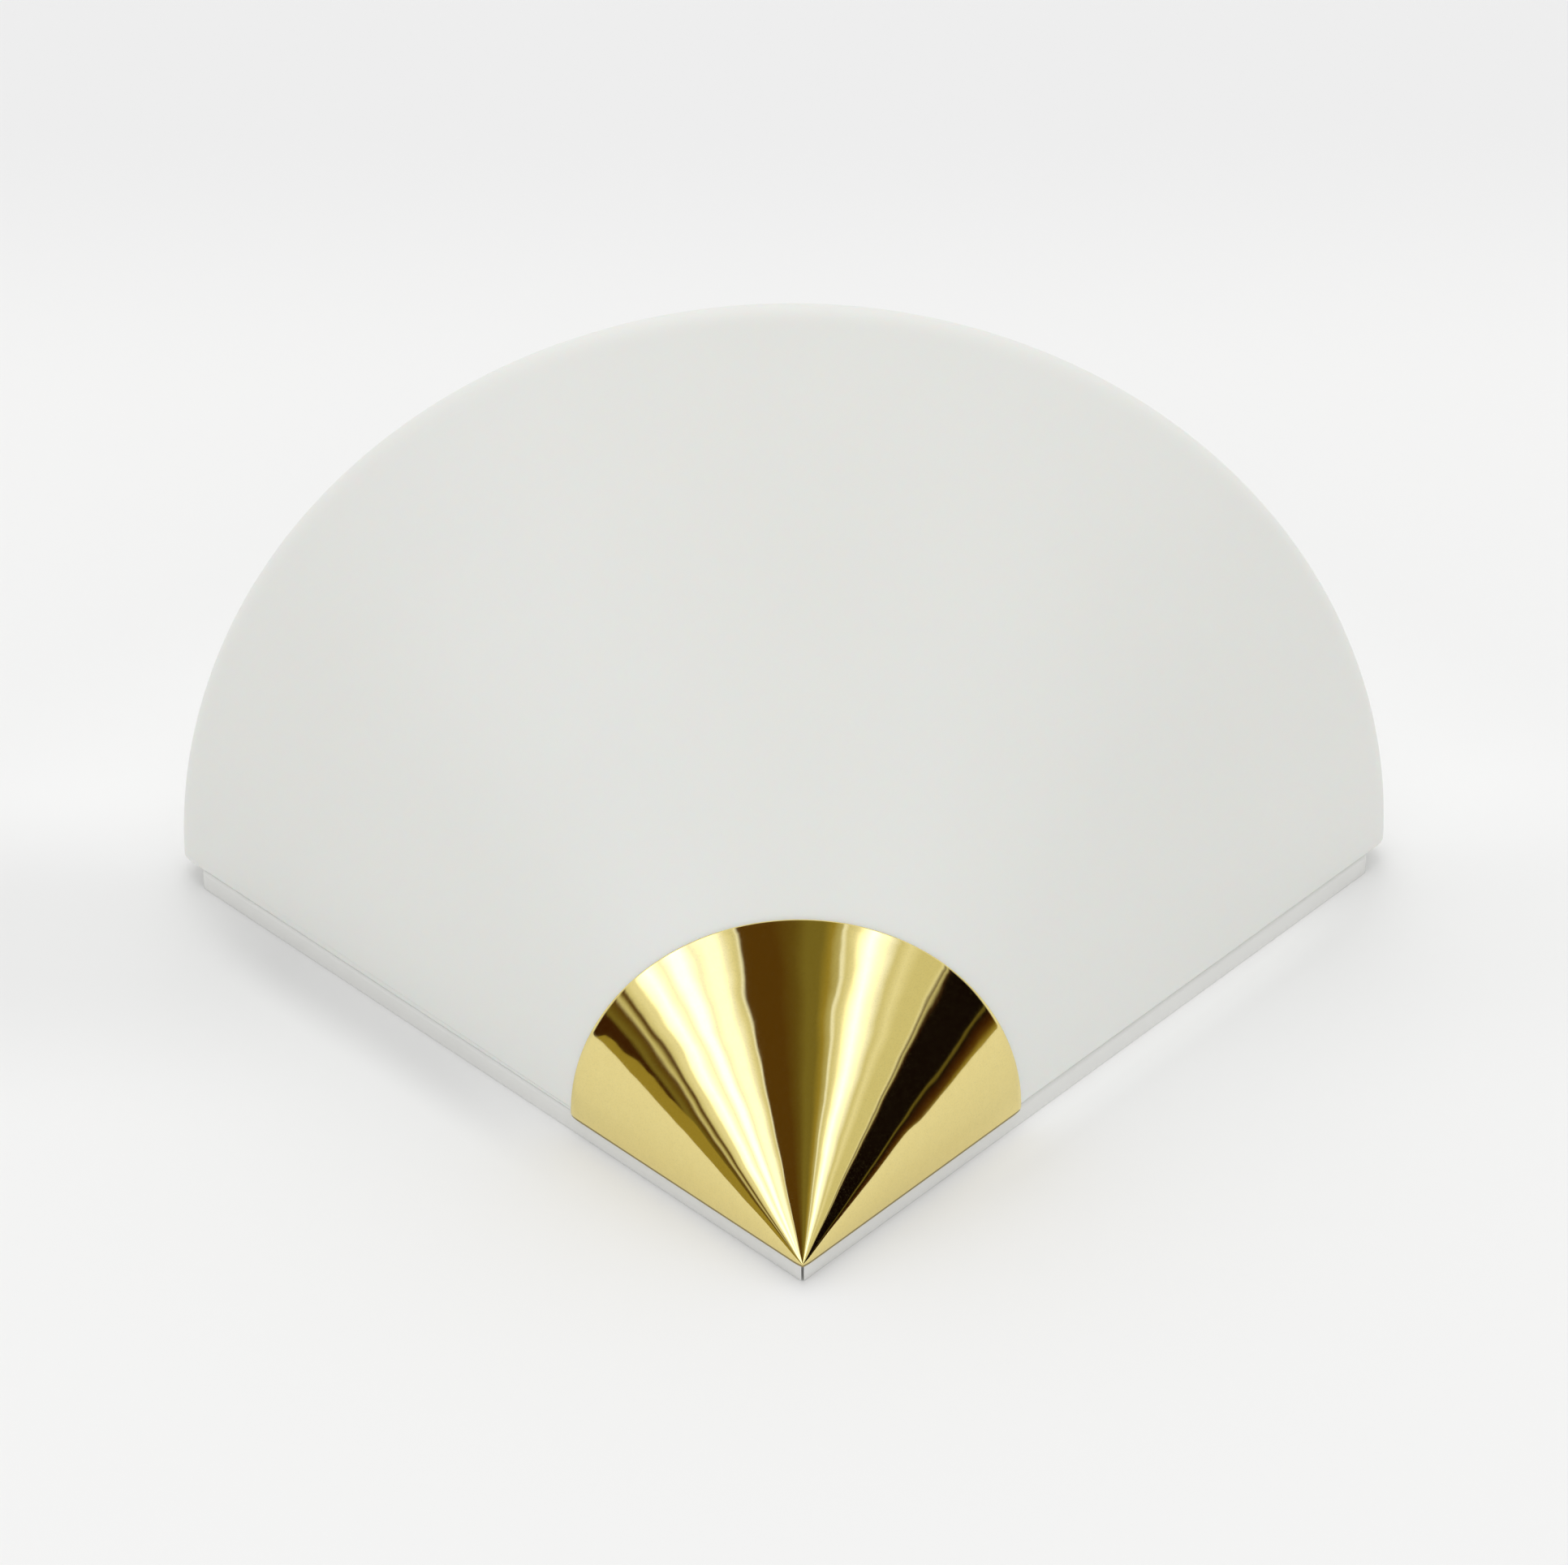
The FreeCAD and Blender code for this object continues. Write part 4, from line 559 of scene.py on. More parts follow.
def turnedTree():
    # a half section swept round the upright axis, with a thread and ribs pressed into it
    graph, given = newTree("turned", {
        "Section": "Geometry", "Sides": "Int", "Thread pitch": "Float", "Thread depth": "Float",
        "Thread from": "Float", "Thread to": "Float", "Thread radius": "Float", "Ribs": "Int",
        "Rib depth": "Float", "Rib from": "Float", "Rib to": "Float", "Rib radius": "Float",
        "Finish": "Material"})
    circle = graph.node("GeometryNodeCurvePrimitiveCircle",
                        inputs={"Resolution": given.other("Sides"), "Radius": 1.0})
    path = graph.node("GeometryNodeSetCurveNormal", {"mode": "Z_UP"}, {0: circle})
    outline = graph.node("GeometryNodeMeshToCurve", inputs={0: given})
    swept = graph.node("GeometryNodeCurveToMesh", inputs={"Curve": path, "Profile Curve": outline})
    x, y, z = graph.parts(graph.node("GeometryNodeInputPosition"))
    radius = (x * x + y * y).maths("SQRT")
    angle = y.maths("ARCTAN2", x)
    pitch = given.other("Thread pitch")
    low, high = given.other("Thread from"), given.other("Thread to")
    turn = (z / pitch - angle / (2 * math.pi)) * (2 * math.pi)
    crest = 0.5 - turn.maths("COSINE") * 0.5
    ends = ((z - low) / pitch).held(0, 1) * ((high - z) / pitch).held(0, 1)
    thread = (crest - 1) * ends * given.other("Thread depth")
    thread = thread * (radius > given.other("Thread radius"))
    between = (z > given.other("Rib from")) * (z < given.other("Rib to"))
    hollow = (angle * given.other("Ribs")).maths("COSINE") * 0.5 + 0.5
    rib = hollow * hollow * between * given.other("Rib depth") * (radius > given.other("Rib radius"))
    shift = (thread - rib) / radius
    offset = graph.node("ShaderNodeCombineXYZ", inputs={0: x * shift, 1: y * shift})
    moved = graph.node("GeometryNodeSetPosition", inputs={0: swept, "Offset": offset})
    merged = graph.node("GeometryNodeMergeByDistance", inputs={0: moved, "Distance": 0.0005})
    return endTree(graph, given, merged)


def copiesTree():
    # one piece at every point, each turned about its own axis by chance
    graph, given = newTree("copies", {"Places": "Geometry", "Piece": "Object", "Turn": "Float",
                                      "Seed": "Int", "Finish": "Material"})
    piece = graph.node("GeometryNodeObjectInfo", inputs={"Object": given.other("Piece")}, output="Geometry")
    chance = graph.node("FunctionNodeRandomValue", {"data_type": "FLOAT"},
                        {2: 0.0, 3: given.other("Turn"), "Seed": given.other("Seed")}, output=1)
    spin = graph.node("FunctionNodeEulerToRotation", inputs={
        0: graph.node("ShaderNodeCombineXYZ", inputs={2: chance})})
    copies = graph.node("GeometryNodeInstanceOnPoints", inputs={"Points": given, "Instance": piece,
                                                               "Rotation": spin})
    return endTree(graph, given, copies)


def coilTree():
    # a wire wound round a path that lies in the XZ plane
    graph, given = newTree("coil", {"Path": "Geometry", "Turns": "Int", "Coil radius": "Float",
                                    "Wire radius": "Float", "Finish": "Material"})
    turns = given.other("Turns")
    path = graph.node("GeometryNodeMeshToCurve", inputs={0: given})
    fine = graph.node("GeometryNodeResampleCurve", inputs={0: path, "Count": turns * 10 + 1})
    tangent = graph.node("GeometryNodeInputTangent")
    square = graph.node("ShaderNodeVectorMath", {"operation": "CROSS_PRODUCT"}, {0: tangent, 1: (0, 1, 0)})
    swing = graph.node("GeometryNodeSplineParameter", output="Factor") * turns * (2 * math.pi)
    up = graph.node("ShaderNodeVectorMath", {"operation": "SCALE"},
                    {0: square, "Scale": swing.maths("COSINE") * given.other("Coil radius")})
    aside = graph.node("ShaderNodeCombineXYZ", inputs={1: swing.maths("SINE") * given.other("Coil radius")})
    offset = graph.node("ShaderNodeVectorMath", {"operation": "ADD"}, {0: up, 1: aside})
    wound = graph.node("GeometryNodeSetPosition", inputs={0: fine, "Offset": offset})
    ring = graph.node("GeometryNodeCurvePrimitiveCircle",
                      inputs={"Resolution": 6, "Radius": given.other("Wire radius")})
    tube = graph.node("GeometryNodeCurveToMesh", inputs={"Curve": wound, "Profile Curve": ring,
                                                        "Fill Caps": True})
    return endTree(graph, given, tube)


trees = {"turned": turnedTree(), "copies": copiesTree(), "coil": coilTree()}


def grown(name, tree, base, settings):
    # a base mesh through one of the trees, as a plain mesh
    holder = holding(name, base)
    modifier = holder.modifiers.new(tree, "NODES")
    modifier.node_group = trees[tree]
    for item in trees[tree].interface.items_tree:
        if item.in_out == "INPUT" and item.name in settings:
            modifier[item.identifier] = settings[item.name]
    return shapeOf(holder)


def outlineMesh(name, points, closed):
    mesh = bpy.data.meshes.new(name)
    links = [(a, (a + 1) % len(points)) for a in range(len(points) if closed else len(points) - 1)]
    mesh.from_pydata(points, links, [])
    return mesh


def outward(mesh):
    work = bmesh.new()
    work.from_mesh(mesh)
    bmesh.ops.remove_doubles(work, verts=work.verts, dist=1e-4)
    bmesh.ops.recalc_face_normals(work, faces=work.faces)
    work.to_mesh(mesh)
    work.free()
    return mesh


def turned(name, corners, closed=False, sides=48, step=None, thread=None, ribs=None, arcs=5):
    # corners are (radius, height) or (radius, height, rounding); thread is (pitch, depth, from, to, radius)
    # and ribs (count, depth, from, to, radius)
    points = softened(corners, arcs)
    if step:
        points = divided(points, step, closed)
    # the tree sweeps round a circle of radius 1, so a radius is counted from there
    base = outlineMesh(name, [(p.x - 1, -p.y, 0) for p in points], closed)
    settings = {"Sides": sides, "Thread pitch": 1.0, "Rib radius": 1e6, "Thread radius": 1e6}
    if thread:
        titles = ("Thread pitch", "Thread depth", "Thread from", "Thread to", "Thread radius")
        settings.update(zip(titles, (float(size) for size in thread)))
    if ribs:
        titles = ("Rib depth", "Rib from", "Rib to", "Rib radius")
        settings.update(zip(titles, (float(size) for size in ribs[1:])))
        settings["Ribs"] = ribs[0]
    return outward(grown(name, "turned", base, settings))


def copied(mesh, places, turn, seed):
    # places are (x, y, z) of the piece's own upright axis
    source = holding("source", mesh)
    result = grown("copies", "copies", outlineMesh("places", [Vector(p) for p in places], False),
                   {"Piece": source, "Turn": float(turn), "Seed": seed})
    bpy.data.objects.remove(source)
    return result


def cutWith(mesh, tool, way="DIFFERENCE"):
    holder = holding("tool", tool)
    result = applied("cut", mesh, "BOOLEAN", {"operation": way, "object": holder, "solver": "EXACT"})
    bpy.data.objects.remove(holder)
    return result


def headCut(mesh, top, reach, width, depth, count):
    # a slot (1) or a tapered cross (2) pressed into a screw head
    for number in range(count):
        work = bmesh.new()
        for vert in bmesh.ops.create_cube(work, size=2)["verts"]:
            narrow = fastenerLook["crossTaper"] if vert.co.z < 0 and count > 1 else 1
            vert.co = Vector((vert.co.x * reach * narrow, vert.co.y * width * narrow / 2,
                              top + 0.1 if vert.co.z > 0 else top - depth))
        bmesh.ops.rotate(work, verts=work.verts, matrix=Matrix.Rotation(math.pi / 2 * number, 3, "Z"))
        mesh = cutWith(mesh, meshFrom(work, "blade"))
    return mesh


facings = {"room": Matrix.Rotation(math.pi / 2, 4, "X"), "across": Matrix.Rotation(math.pi / 2, 4, "Y"),
           "up": Matrix.Identity(4)}


def placed(mesh, facing, at=(0, 0, 0)):
    # the mesh's own upright axis turned out of the wall, across, or left upright; at is in millimetres
    mesh.transform(Matrix.Translation(Vector(at) * mm) @ facings[facing] @ Matrix.Scale(mm, 4))
    return mesh


glassLook = {
    "rimRadius": 150,
    "wall": 4,
    "shoulder": 8,         # outer rounding below the rim
    "lip": 14,             # inward lip, from the widest radius
    "lipRounding": 1.8,
    "lowerEnd": 30,        # ground end, above the plate's point
    "edge": 0.5,           # rounding of the ground seat and end
    "edgeSteps": (0, 0.06, 0.15, 0.3, 0.5),
    "turns": 180,
}
arcRadius = glassLook["rimRadius"] - glassLook["shoulder"]
widestRise = (arcRadius + glassLook["shoulder"] * slant) / slope
glassTop = widestRise + glassLook["shoulder"]


def glassSection():
    # (radius, rise), and at each point the direction into the wall
    wall, edge, low = glassLook["wall"], glassLook["edge"], glassLook["lowerEnd"]
    shoulder, rounding = glassLook["shoulder"], glassLook["lipRounding"]
    inset = wall * slant
    lip = glassLook["rimRadius"] - glassLook["lip"]
    underLip = glassTop - wall
    section = softened([
        (slope * low, low, edge), (slope * glassTop, glassTop, shoulder), (lip, glassTop, rounding),
        (lip, underLip, rounding), (slope * underLip - inset, underLip, shoulder - wall),
        (slope * low - inset, low, edge),
    ], 10)
    ahead = section[1:] + section[:1]
    behind = section[-1:] + section[:-1]
    inward = 1 if sum(a.x * b.y - a.y * b.x for a, b in zip(section, ahead)) > 0 else -1
    runs = [(after - before).normalized() for before, after in zip(behind, ahead)]
    return section, [Vector((-run.y, run.x)) * inward for run in runs]


def glassPiece():
    section, normals = glassSection()
    edge, turns, seat = glassLook["edge"], glassLook["turns"], shared["seatDepth"]
    work = bmesh.new()

    def seatRing(depth, side):
        # so close to the seat the section shrinks a little, which rounds the ground edge
        shrink = edge - math.sqrt(edge ** 2 - (edge - depth) ** 2)
        shrunk = [point + normal * shrink for point, normal in zip(section, normals)]
        places = [spot(side * math.sqrt(p.x ** 2 - depth ** 2), p.y, seat + depth) for p in shrunk]
        return [work.verts.new(place) for place in places]

    rings = [seatRing(depth, 1) for depth in glassLook["edgeSteps"]]
    for step in range(1, turns):
        angle = math.pi * step / turns
        places = [spot(p.x * math.cos(angle), p.y, seat + p.x * math.sin(angle)) for p in section]
        rings.append([work.verts.new(place) for place in places])
    rings += [seatRing(depth, -1) for depth in reversed(glassLook["edgeSteps"])]
    for first, second in zip(rings, rings[1:]):
        for a in range(len(section)):
            b = (a + 1) % len(section)
            work.faces.new((first[a], first[b], second[b], second[a]))
    for end in (rings[0], rings[-1]):
        work.faces.new(end)
    bmesh.ops.recalc_face_normals(work, faces=work.faces)
    finishPiece("shade_glass", meshFrom(work, "glass"), "glass_shade", 50)


glassPiece()
print("glass made")

capLook = {
    "sheet": 0.6,
    "gap": 0.3,            # cap to glass, square to the cone
    "skirt": 0.7,          # how far it reaches back past the seat of the glass
    "corner": 1.0,         # rounding of the two upper corners
    "cornerFade": 9,       # how fast it goes below the rim, as a power
    "tip": 2.2,            # rounding of the point
    "lip": 1.3,            # the rim is buffed round over this length
    "lipDrop": 0.5,
    "edge": 0.07,          # rounding of the sheet's cut edges
    "rows": 60,
    "crowding": 1.6,       # rows crowd towards the point
    "turns": 160,
}
lipSteps = (0.6, 0.45, 0.3, 0.15, 0)     # shares of the lip, back from the rim
skirtSteps = (1.0, 0.75, 0.5, 0.25)      # shares of the skirt


def capSheet(work, off, lip):
    # grid of one face of the sheet, off the glass by this much, from the point to the rim and from one
    # back edge round to the other
    rim, rows, turns, soft = shared["capReach"], capLook["rows"], capLook["turns"], capLook["tip"]
    reach = off * slant
    pointRise = -reach / slope
    length = rim - pointRise
    rises = [pointRise + length * (row / rows) ** capLook["crowding"] for row in range(rows)]
    rises += [rim - capLook["lip"] * back ** 2 for back in lipSteps]
    grid = []
    for rise in sorted(rises):
        cornerShare = ((rise - pointRise) / length) ** capLook["cornerFade"]
        into = max(0, 1 - (rim - rise) * slant / capLook["lip"])
        radius = slope * rise + reach - lip * (1 - math.sqrt(1 - into ** 2)) * slant
        if radius < soft:  # the point is a small ball
            rise += (soft - radius) ** 2 / (4 * soft)
        line = []
        for back in skirtSteps:
            depth = capLook["skirt"] * back
            over = max(0, depth - (capLook["skirt"] - capLook["corner"]))
            drop = (capLook["corner"] - math.sqrt(capLook["corner"] ** 2 - over ** 2)) * cornerShare
            line.append((radius - slope * drop, rise - drop, -depth))
        for step in range(turns + 1):
            angle = math.pi * step / turns
            line.append((radius * math.cos(angle), rise, radius * math.sin(angle)))
        line += [(-x, z, d) for x, z, d in reversed(line[:len(skirtSteps)])]
        grid.append([work.verts.new(spot(x, z, shared["seatDepth"] + d)) for x, z, d in line])
    for lower, upper in zip(grid, grid[1:]):
        for a in range(len(lower) - 1):
            work.faces.new((lower[a], upper[a], upper[a + 1], lower[a + 1]))
    return grid


def capPiece():
    work = bmesh.new()
    outer = capSheet(work, capLook["gap"] + capLook["sheet"], capLook["lipDrop"])
    inner = capSheet(work, capLook["gap"], 0)
    for a in range(len(outer[0]) - 1):
        work.faces.new((outer[-1][a], outer[-1][a + 1], inner[-1][a + 1], inner[-1][a]))
    for row in range(len(outer) - 1):
        for end in (0, -1):
            work.faces.new((outer[row][end], outer[row + 1][end], inner[row + 1][end], inner[row][end]))
    tip, bed, seat = outer[0], inner[0], len(skirtSteps)
    work.faces.new((tip[0], tip[seat], bed[seat], bed[0]))
    bmesh.ops.remove_doubles(work, verts=work.verts, dist=1e-6)
    bmesh.ops.dissolve_degenerate(work, edges=work.edges, dist=1e-6)
    bmesh.ops.recalc_face_normals(work, faces=work.faces)
    mesh = bevelled("cap_making", meshFrom(work, "cap"), capLook["edge"], 50, 3)
    finishPiece("brass_cap", mesh, "tip_cap", 50)


capPiece()
print("brass cap made")

# folded, cut and moulded pieces keep the shape of their solids; their edges are rounded by this much
roundings = {
    "backplate": 0.12, "tip_bracket": 0.2, "side_spring_left": 0.12, "side_spring_right": 0.12,
    "spring_sleeve_left": 0.4, "spring_sleeve_right": 0.4, "holder_bracket": 0.2, "holder_insert": 0.5,
    "centre_contact": 0.1, "terminal_block": 0.3, "terminal_tubes": 0.12, "tip_cushion": 0.5,
    "cap_plug": 0.25,
}
for node, width in roundings.items():
    finishPiece(node + "_piece", refined(node, width), node)
print("sheet and moulded pieces rounded:", len(roundings))

threads = {                      # pitch and depth
    "coarse": (0.7, 0.38),       # M4
    "clamp": (0.5, 0.25),
    "tapping": (1.1, 0.4),
    "tube": (1.0, 0.5),          # M10 tube of the lampholder
    "lampShell": (3.62, 0.8),    # rolled thread of 27 mm lamps
    "lampSleeve": (3.62, -0.6),  # and the sleeve that takes it
}
fastenerLook = {
    "bracketHead": (3.8, 2.4),   # radius and height
    "blockHead": (2.4, 1.6),
    "clampHead": (1.7, 1.2),
    "rivetHead": (2.9, 1.1),
    "bracketCross": (2.1, 0.85, 1.3),    # reach, width and depth of the recess
    "blockCross": (1.3, 0.6, 0.9),
    "clampSlot": (1.9, 0.5, 0.65),
    "crossTaper": 0.65,
    "nutFlats": 7,
    "lockNutFlats": 14,
    "nutBore": 2.05,
    "lockNutBore": 5.05,
    "chamfer": 0.25,             # at the bore
    "nutFace": 0.96,             # turned face, as a share of the flats
    "nutSlope": 30,              # of the corners, in degrees
    "washerTeeth": 12,
    "toothDepth": 0.9,
}


def middlesOf(node, radius=None):
    # (across, z) of one fastener, or of two like ones of this radius at the ends of a node's box
    low, high = nodeBox(node)
    middle = middleOf(node)
    if radius is None:
        return [(middle.x, middle.z)]
    if high.x - low.x > high.z - low.z:
        return [(low.x + radius, middle.z), (high.x - radius, middle.z)]
    return [(middle.x, low.z + radius), (middle.x, high.z - radius)]


def onPlate(name, mesh, node, middles, turn=math.pi, seed=3):
    # fasteners that stand out from the wall; their heights are depths in front of it
    mesh = copied(mesh, [(across, z, 0) for across, z in middles], turn, seed)
    finishPiece(name, placed(mesh, "room"), node, 30)


def bracketScrews():
    end, top = depthsOf("bracket_screws")
    head, height = fastenerLook["bracketHead"]
    under = top - height
    mesh = turned("screw", [
        (0, end), (1.5, end), (2, end + 0.5), (2, under, 0.15), (head, under, 0.3), (head, under + 1.3, 1.0),
        (1.6, top, 1.5), (0, top),
    ], step=0.1, thread=(*threads["coarse"], end, under - 1.6, 1.9))
    mesh = headCut(mesh, top, *fastenerLook["bracketCross"], 2)
    onPlate("bracket_screw_pair", mesh, "bracket_screws", middlesOf("bracket_screws", head), seed=5)


def blockScrews():
    end, top = depthsOf("terminal_block_screws")
    head, height = fastenerLook["blockHead"]
    under = top - height
    mesh = turned("screw", [
        (0, end), (0.5, end), (1.4, end + 1.2), (1.4, under, 0.1), (head, under, 0.15),
        (head, under + 0.8, 0.6), (1.0, top, 0.8), (0, top),
    ], sides=36, step=0.12, thread=(*threads["tapping"], end - 0.5, under - 1, 0.6))
    mesh = headCut(mesh, top, *fastenerLook["blockCross"], 2)
    middles = middlesOf("terminal_block_screws", head)
    onPlate("block_screw_pair", mesh, "terminal_block_screws", middles, seed=8)


def clampScrews():
    end, top = depthsOf("terminal_screws")
    head, height = fastenerLook["clampHead"]
    under = top - height
    mesh = turned("screw", [
        (0, end), (1.0, end), (1.3, end + 0.3), (1.3, under), (head, under, 0.1), (head, top, 0.2), (0, top),
    ], sides=36, step=0.1, thread=(*threads["clamp"], end, under, 1.2))
    mesh = headCut(mesh, top, *fastenerLook["clampSlot"], 1)
    low, high = nodeBox("terminal_screws")
    rows = (low.z + head, (low.z + high.z) / 2, high.z - head)
    middles = [(x, z) for z in rows for x in (low.x + head, high.x - head)]
    onPlate("clamp_screws", mesh, "terminal_screws", middles, seed=11)


def rivets(node, sheets):
    # blind rivets: a domed head with the broken mandrel in its middle, and a swelled tail
    tail, top = depthsOf(node)
    head, height = fastenerLook["rivetHead"]
    under = top - height
    mesh = turned("rivet", [
        (0, tail + 0.15), (0.8, tail + 0.15), (0.9, tail), (1.9, tail, 0.3), (2.2, under - sheets, 0.4),
        (1.5, under - sheets), (1.5, under), (head, under, 0.12), (head, under + 0.35, 0.25),
        (1.8, top, 0.9), (0.85, top, 0.1), (0.75, top - 0.35), (0, top - 0.3),
    ])
    onPlate(node + "_piece", mesh, node, middlesOf(node, head), seed=2)


def earthStud():
    end, top = depthsOf("earth_stud")
    mesh = turned("stud", [
        (0, end), (3.5, end, 0.3), (3.8, end + 1.2, 0.2), (2, end + 1.2), (2, top - 0.5), (1.5, top),
        (0, top),
    ], step=0.1, thread=(*threads["coarse"], end + 2.4, top, 1.4))
    onPlate("earth_stud_piece", mesh, "earth_stud", middlesOf("earth_stud"), 0)


def earthWasher():
    back, front = depthsOf("earth_washer")
    mesh = turned("toothed", [
        (2.15, back, 0.1), (4.5, back, 0.15), (4.5, front, 0.15), (2.15, front, 0.1),
    ], closed=True, sides=120, arcs=2,
        ribs=(fastenerLook["washerTeeth"], fastenerLook["toothDepth"], back - 1, front + 1, 3.9))
    onPlate("toothed_washer", mesh, "earth_washer", middlesOf("earth_washer"), 0)


def nutMesh(flats, low, high, bore):
    # a turned blank with chamfered faces, cut to a hexagon
    corner = flats / math.sqrt(3)
    face = flats / 2 * fastenerLook["nutFace"]
    blank = corner + 0.02
    drop = (blank - face) * math.tan(math.radians(fastenerLook["nutSlope"]))
    cut = fastenerLook["chamfer"]
    turning = turned("nut_turning", [
        (bore, low + cut), (bore + cut, low), (face, low), (blank, low + drop),
        (blank, high - drop), (face, high), (bore + cut, high), (bore, high - cut),
    ], closed=True, sides=72)
    low, high = low - 1, high + 1
    hexagon = turned("hexagon", [(0, low), (corner, low), (corner, high), (0, high)], sides=6)
    return cutWith(turning, hexagon, "INTERSECT")


def nuts():
    flats = fastenerLook["nutFlats"]
    pair, single = middlesOf("bracket_nuts", flats / 2), middlesOf("earth_nut")
    for name, node, middles in (("bracket_nut_pair", "bracket_nuts", pair),
                                ("earth_nut_piece", "earth_nut", single)):
        onPlate(name, nutMesh(flats, *depthsOf(node), fastenerLook["nutBore"]), node, middles, 0)
    low, high = nodeBox("nipple_nut")
    place = middleOf("nipple_nut")
    mesh = nutMesh(fastenerLook["lockNutFlats"], 0, high.x - low.x, fastenerLook["lockNutBore"])
    finishPiece("lock_nut", placed(mesh, "across", (low.x, place.y, place.z)), "nipple_nut", 30)


def grommet():
    back, front = depthsOf("cable_grommet")
    edge, bore = lengthOf("cable_grommet") / 2, 5
    groove = edge - 2.2
    mesh = turned("grommet", [
        (bore, back, 0.6), (edge, back, 0.9), (edge, back + 1.4, 0.35), (groove, back + 1.4),
        (groove, back + 2.4), (edge, back + 2.4, 0.35), (edge, front, 0.9), (bore, front, 0.6),
    ], closed=True, sides=64)
    onPlate("grommet", mesh, "cable_grommet", middlesOf("cable_grommet"), 0)


def earthTag():
    # the ring tag, with two claws closed over the end of the wire
    low, high = nodeBox("earth_tag")
    inner, outer, length = 1.12, 1.45, 2.3
    claws = turned("claws", [
        (inner, 0, 0.1), (outer, 0, 0.1), (outer, length, 0.1), (inner, length, 0.1),
    ], closed=True, sides=32, arcs=2)
    work = bmesh.new()
    work.from_mesh(placed(claws, "across", (high.x - 2.6, low.y - 1.1, middleOf("earth_tag").z)))
    bmesh.ops.bisect_plane(work, geom=work.verts[:] + work.edges[:] + work.faces[:],
                           plane_co=(0, (low.y - 0.05) * mm, 0), plane_no=(0, 1, 0), clear_outer=True)
    bmesh.ops.holes_fill(work, edges=work.edges, sides=0)
    work.from_mesh(refined("earth_tag", 0.15))
    finishPiece("ring_tag", meshFrom(work, "tag"), "earth_tag", 30)


bracketScrews()
blockScrews()
clampScrews()
rivets("tip_bracket_rivets", 2.2)
rivets("spring_rivets", 1.8)
earthStud()
earthWasher()
nuts()
grommet()
earthTag()
print("fasteners made")

hangerLook = {
    "knurls": 24,
    "knurlDepth": 0.4,
    "nutRadius": 6,
    "bore": 2.06,
}


def hanger():
    # stud, washer and knurled nut that hold the cap on its bracket
    radius, bore = hangerLook["nutRadius"], hangerLook["bore"]
    axis = middleOf("cap_stud")

    def hang(name, mesh, node, low, sharpAngle):
        finishPiece(name, placed(mesh, "up", (axis.x, axis.y, low.z)), node, sharpAngle)

    low, high = nodeBox("cap_stud")
    length = high.z - low.z
    mesh = turned("stud", [(0, 0), (2, 0), (2, length - 0.5), (1.5, length), (0, length)], step=0.1,
                  thread=(*threads["coarse"], -1, length, 1.4))
    hang("threaded_stud", mesh, "cap_stud", low, 40)
    low, high = nodeBox("stud_washer")
    edge, height = (high.x - low.x) / 2, high.z - low.z
    mesh = turned("washer", [(bore, 0, 0.12), (edge, 0, 0.25), (edge, height, 0.12), (bore, height, 0.12)],
                  closed=True, sides=72, arcs=3)
    hang("washer", mesh, "stud_washer", low, 30)
    low, high = nodeBox("knurled_nut")
    height = high.z - low.z
    mesh = turned("nut", [
        (bore, 0.4), (bore + 0.4, 0), (radius * 0.8, 0, 0.2), (radius, height * 0.2, 0.4),
        (radius, height * 0.9, 0.25), (radius * 0.9, height, 0.3), (bore + 1.4, height, 0.15),
        (bore + 1.2, height - 0.35, 0.15), (bore + 0.5, height - 0.35), (bore, height - 0.8),
    ], closed=True, sides=240, step=0.5, arcs=3,
        ribs=(hangerLook["knurls"], hangerLook["knurlDepth"], height * 0.1, height * 0.97, radius * 0.88))
    hang("knurled_nut_piece", mesh, "knurled_nut", low, 30)


hanger()
print("hanging stud and nut made")

holderLook = {
    "radius": 20,
    "wall": 2,
    "step": 1,             # shallow step round the dome
    "dome": 12,            # flat middle of the dome
    "flutes": 48,          # grip round the sleeve
    "fluteDepth": 0.35,
    "bore": 5.05,
    "tubeBore": 3.5,
    "washer": 8.5,
    "mouth": 14.8,
    "sleeveBore": 13.55,
    "sleeveWall": 0.5,
}


def onLamp(name, mesh, node, start, sharpAngle=35):
    # pieces on the lamp's axis; their heights run across from start
    place = middleOf("holder_body")
    finishPiece(name, placed(mesh, "across", (start, place.y, place.z)), node, sharpAngle)


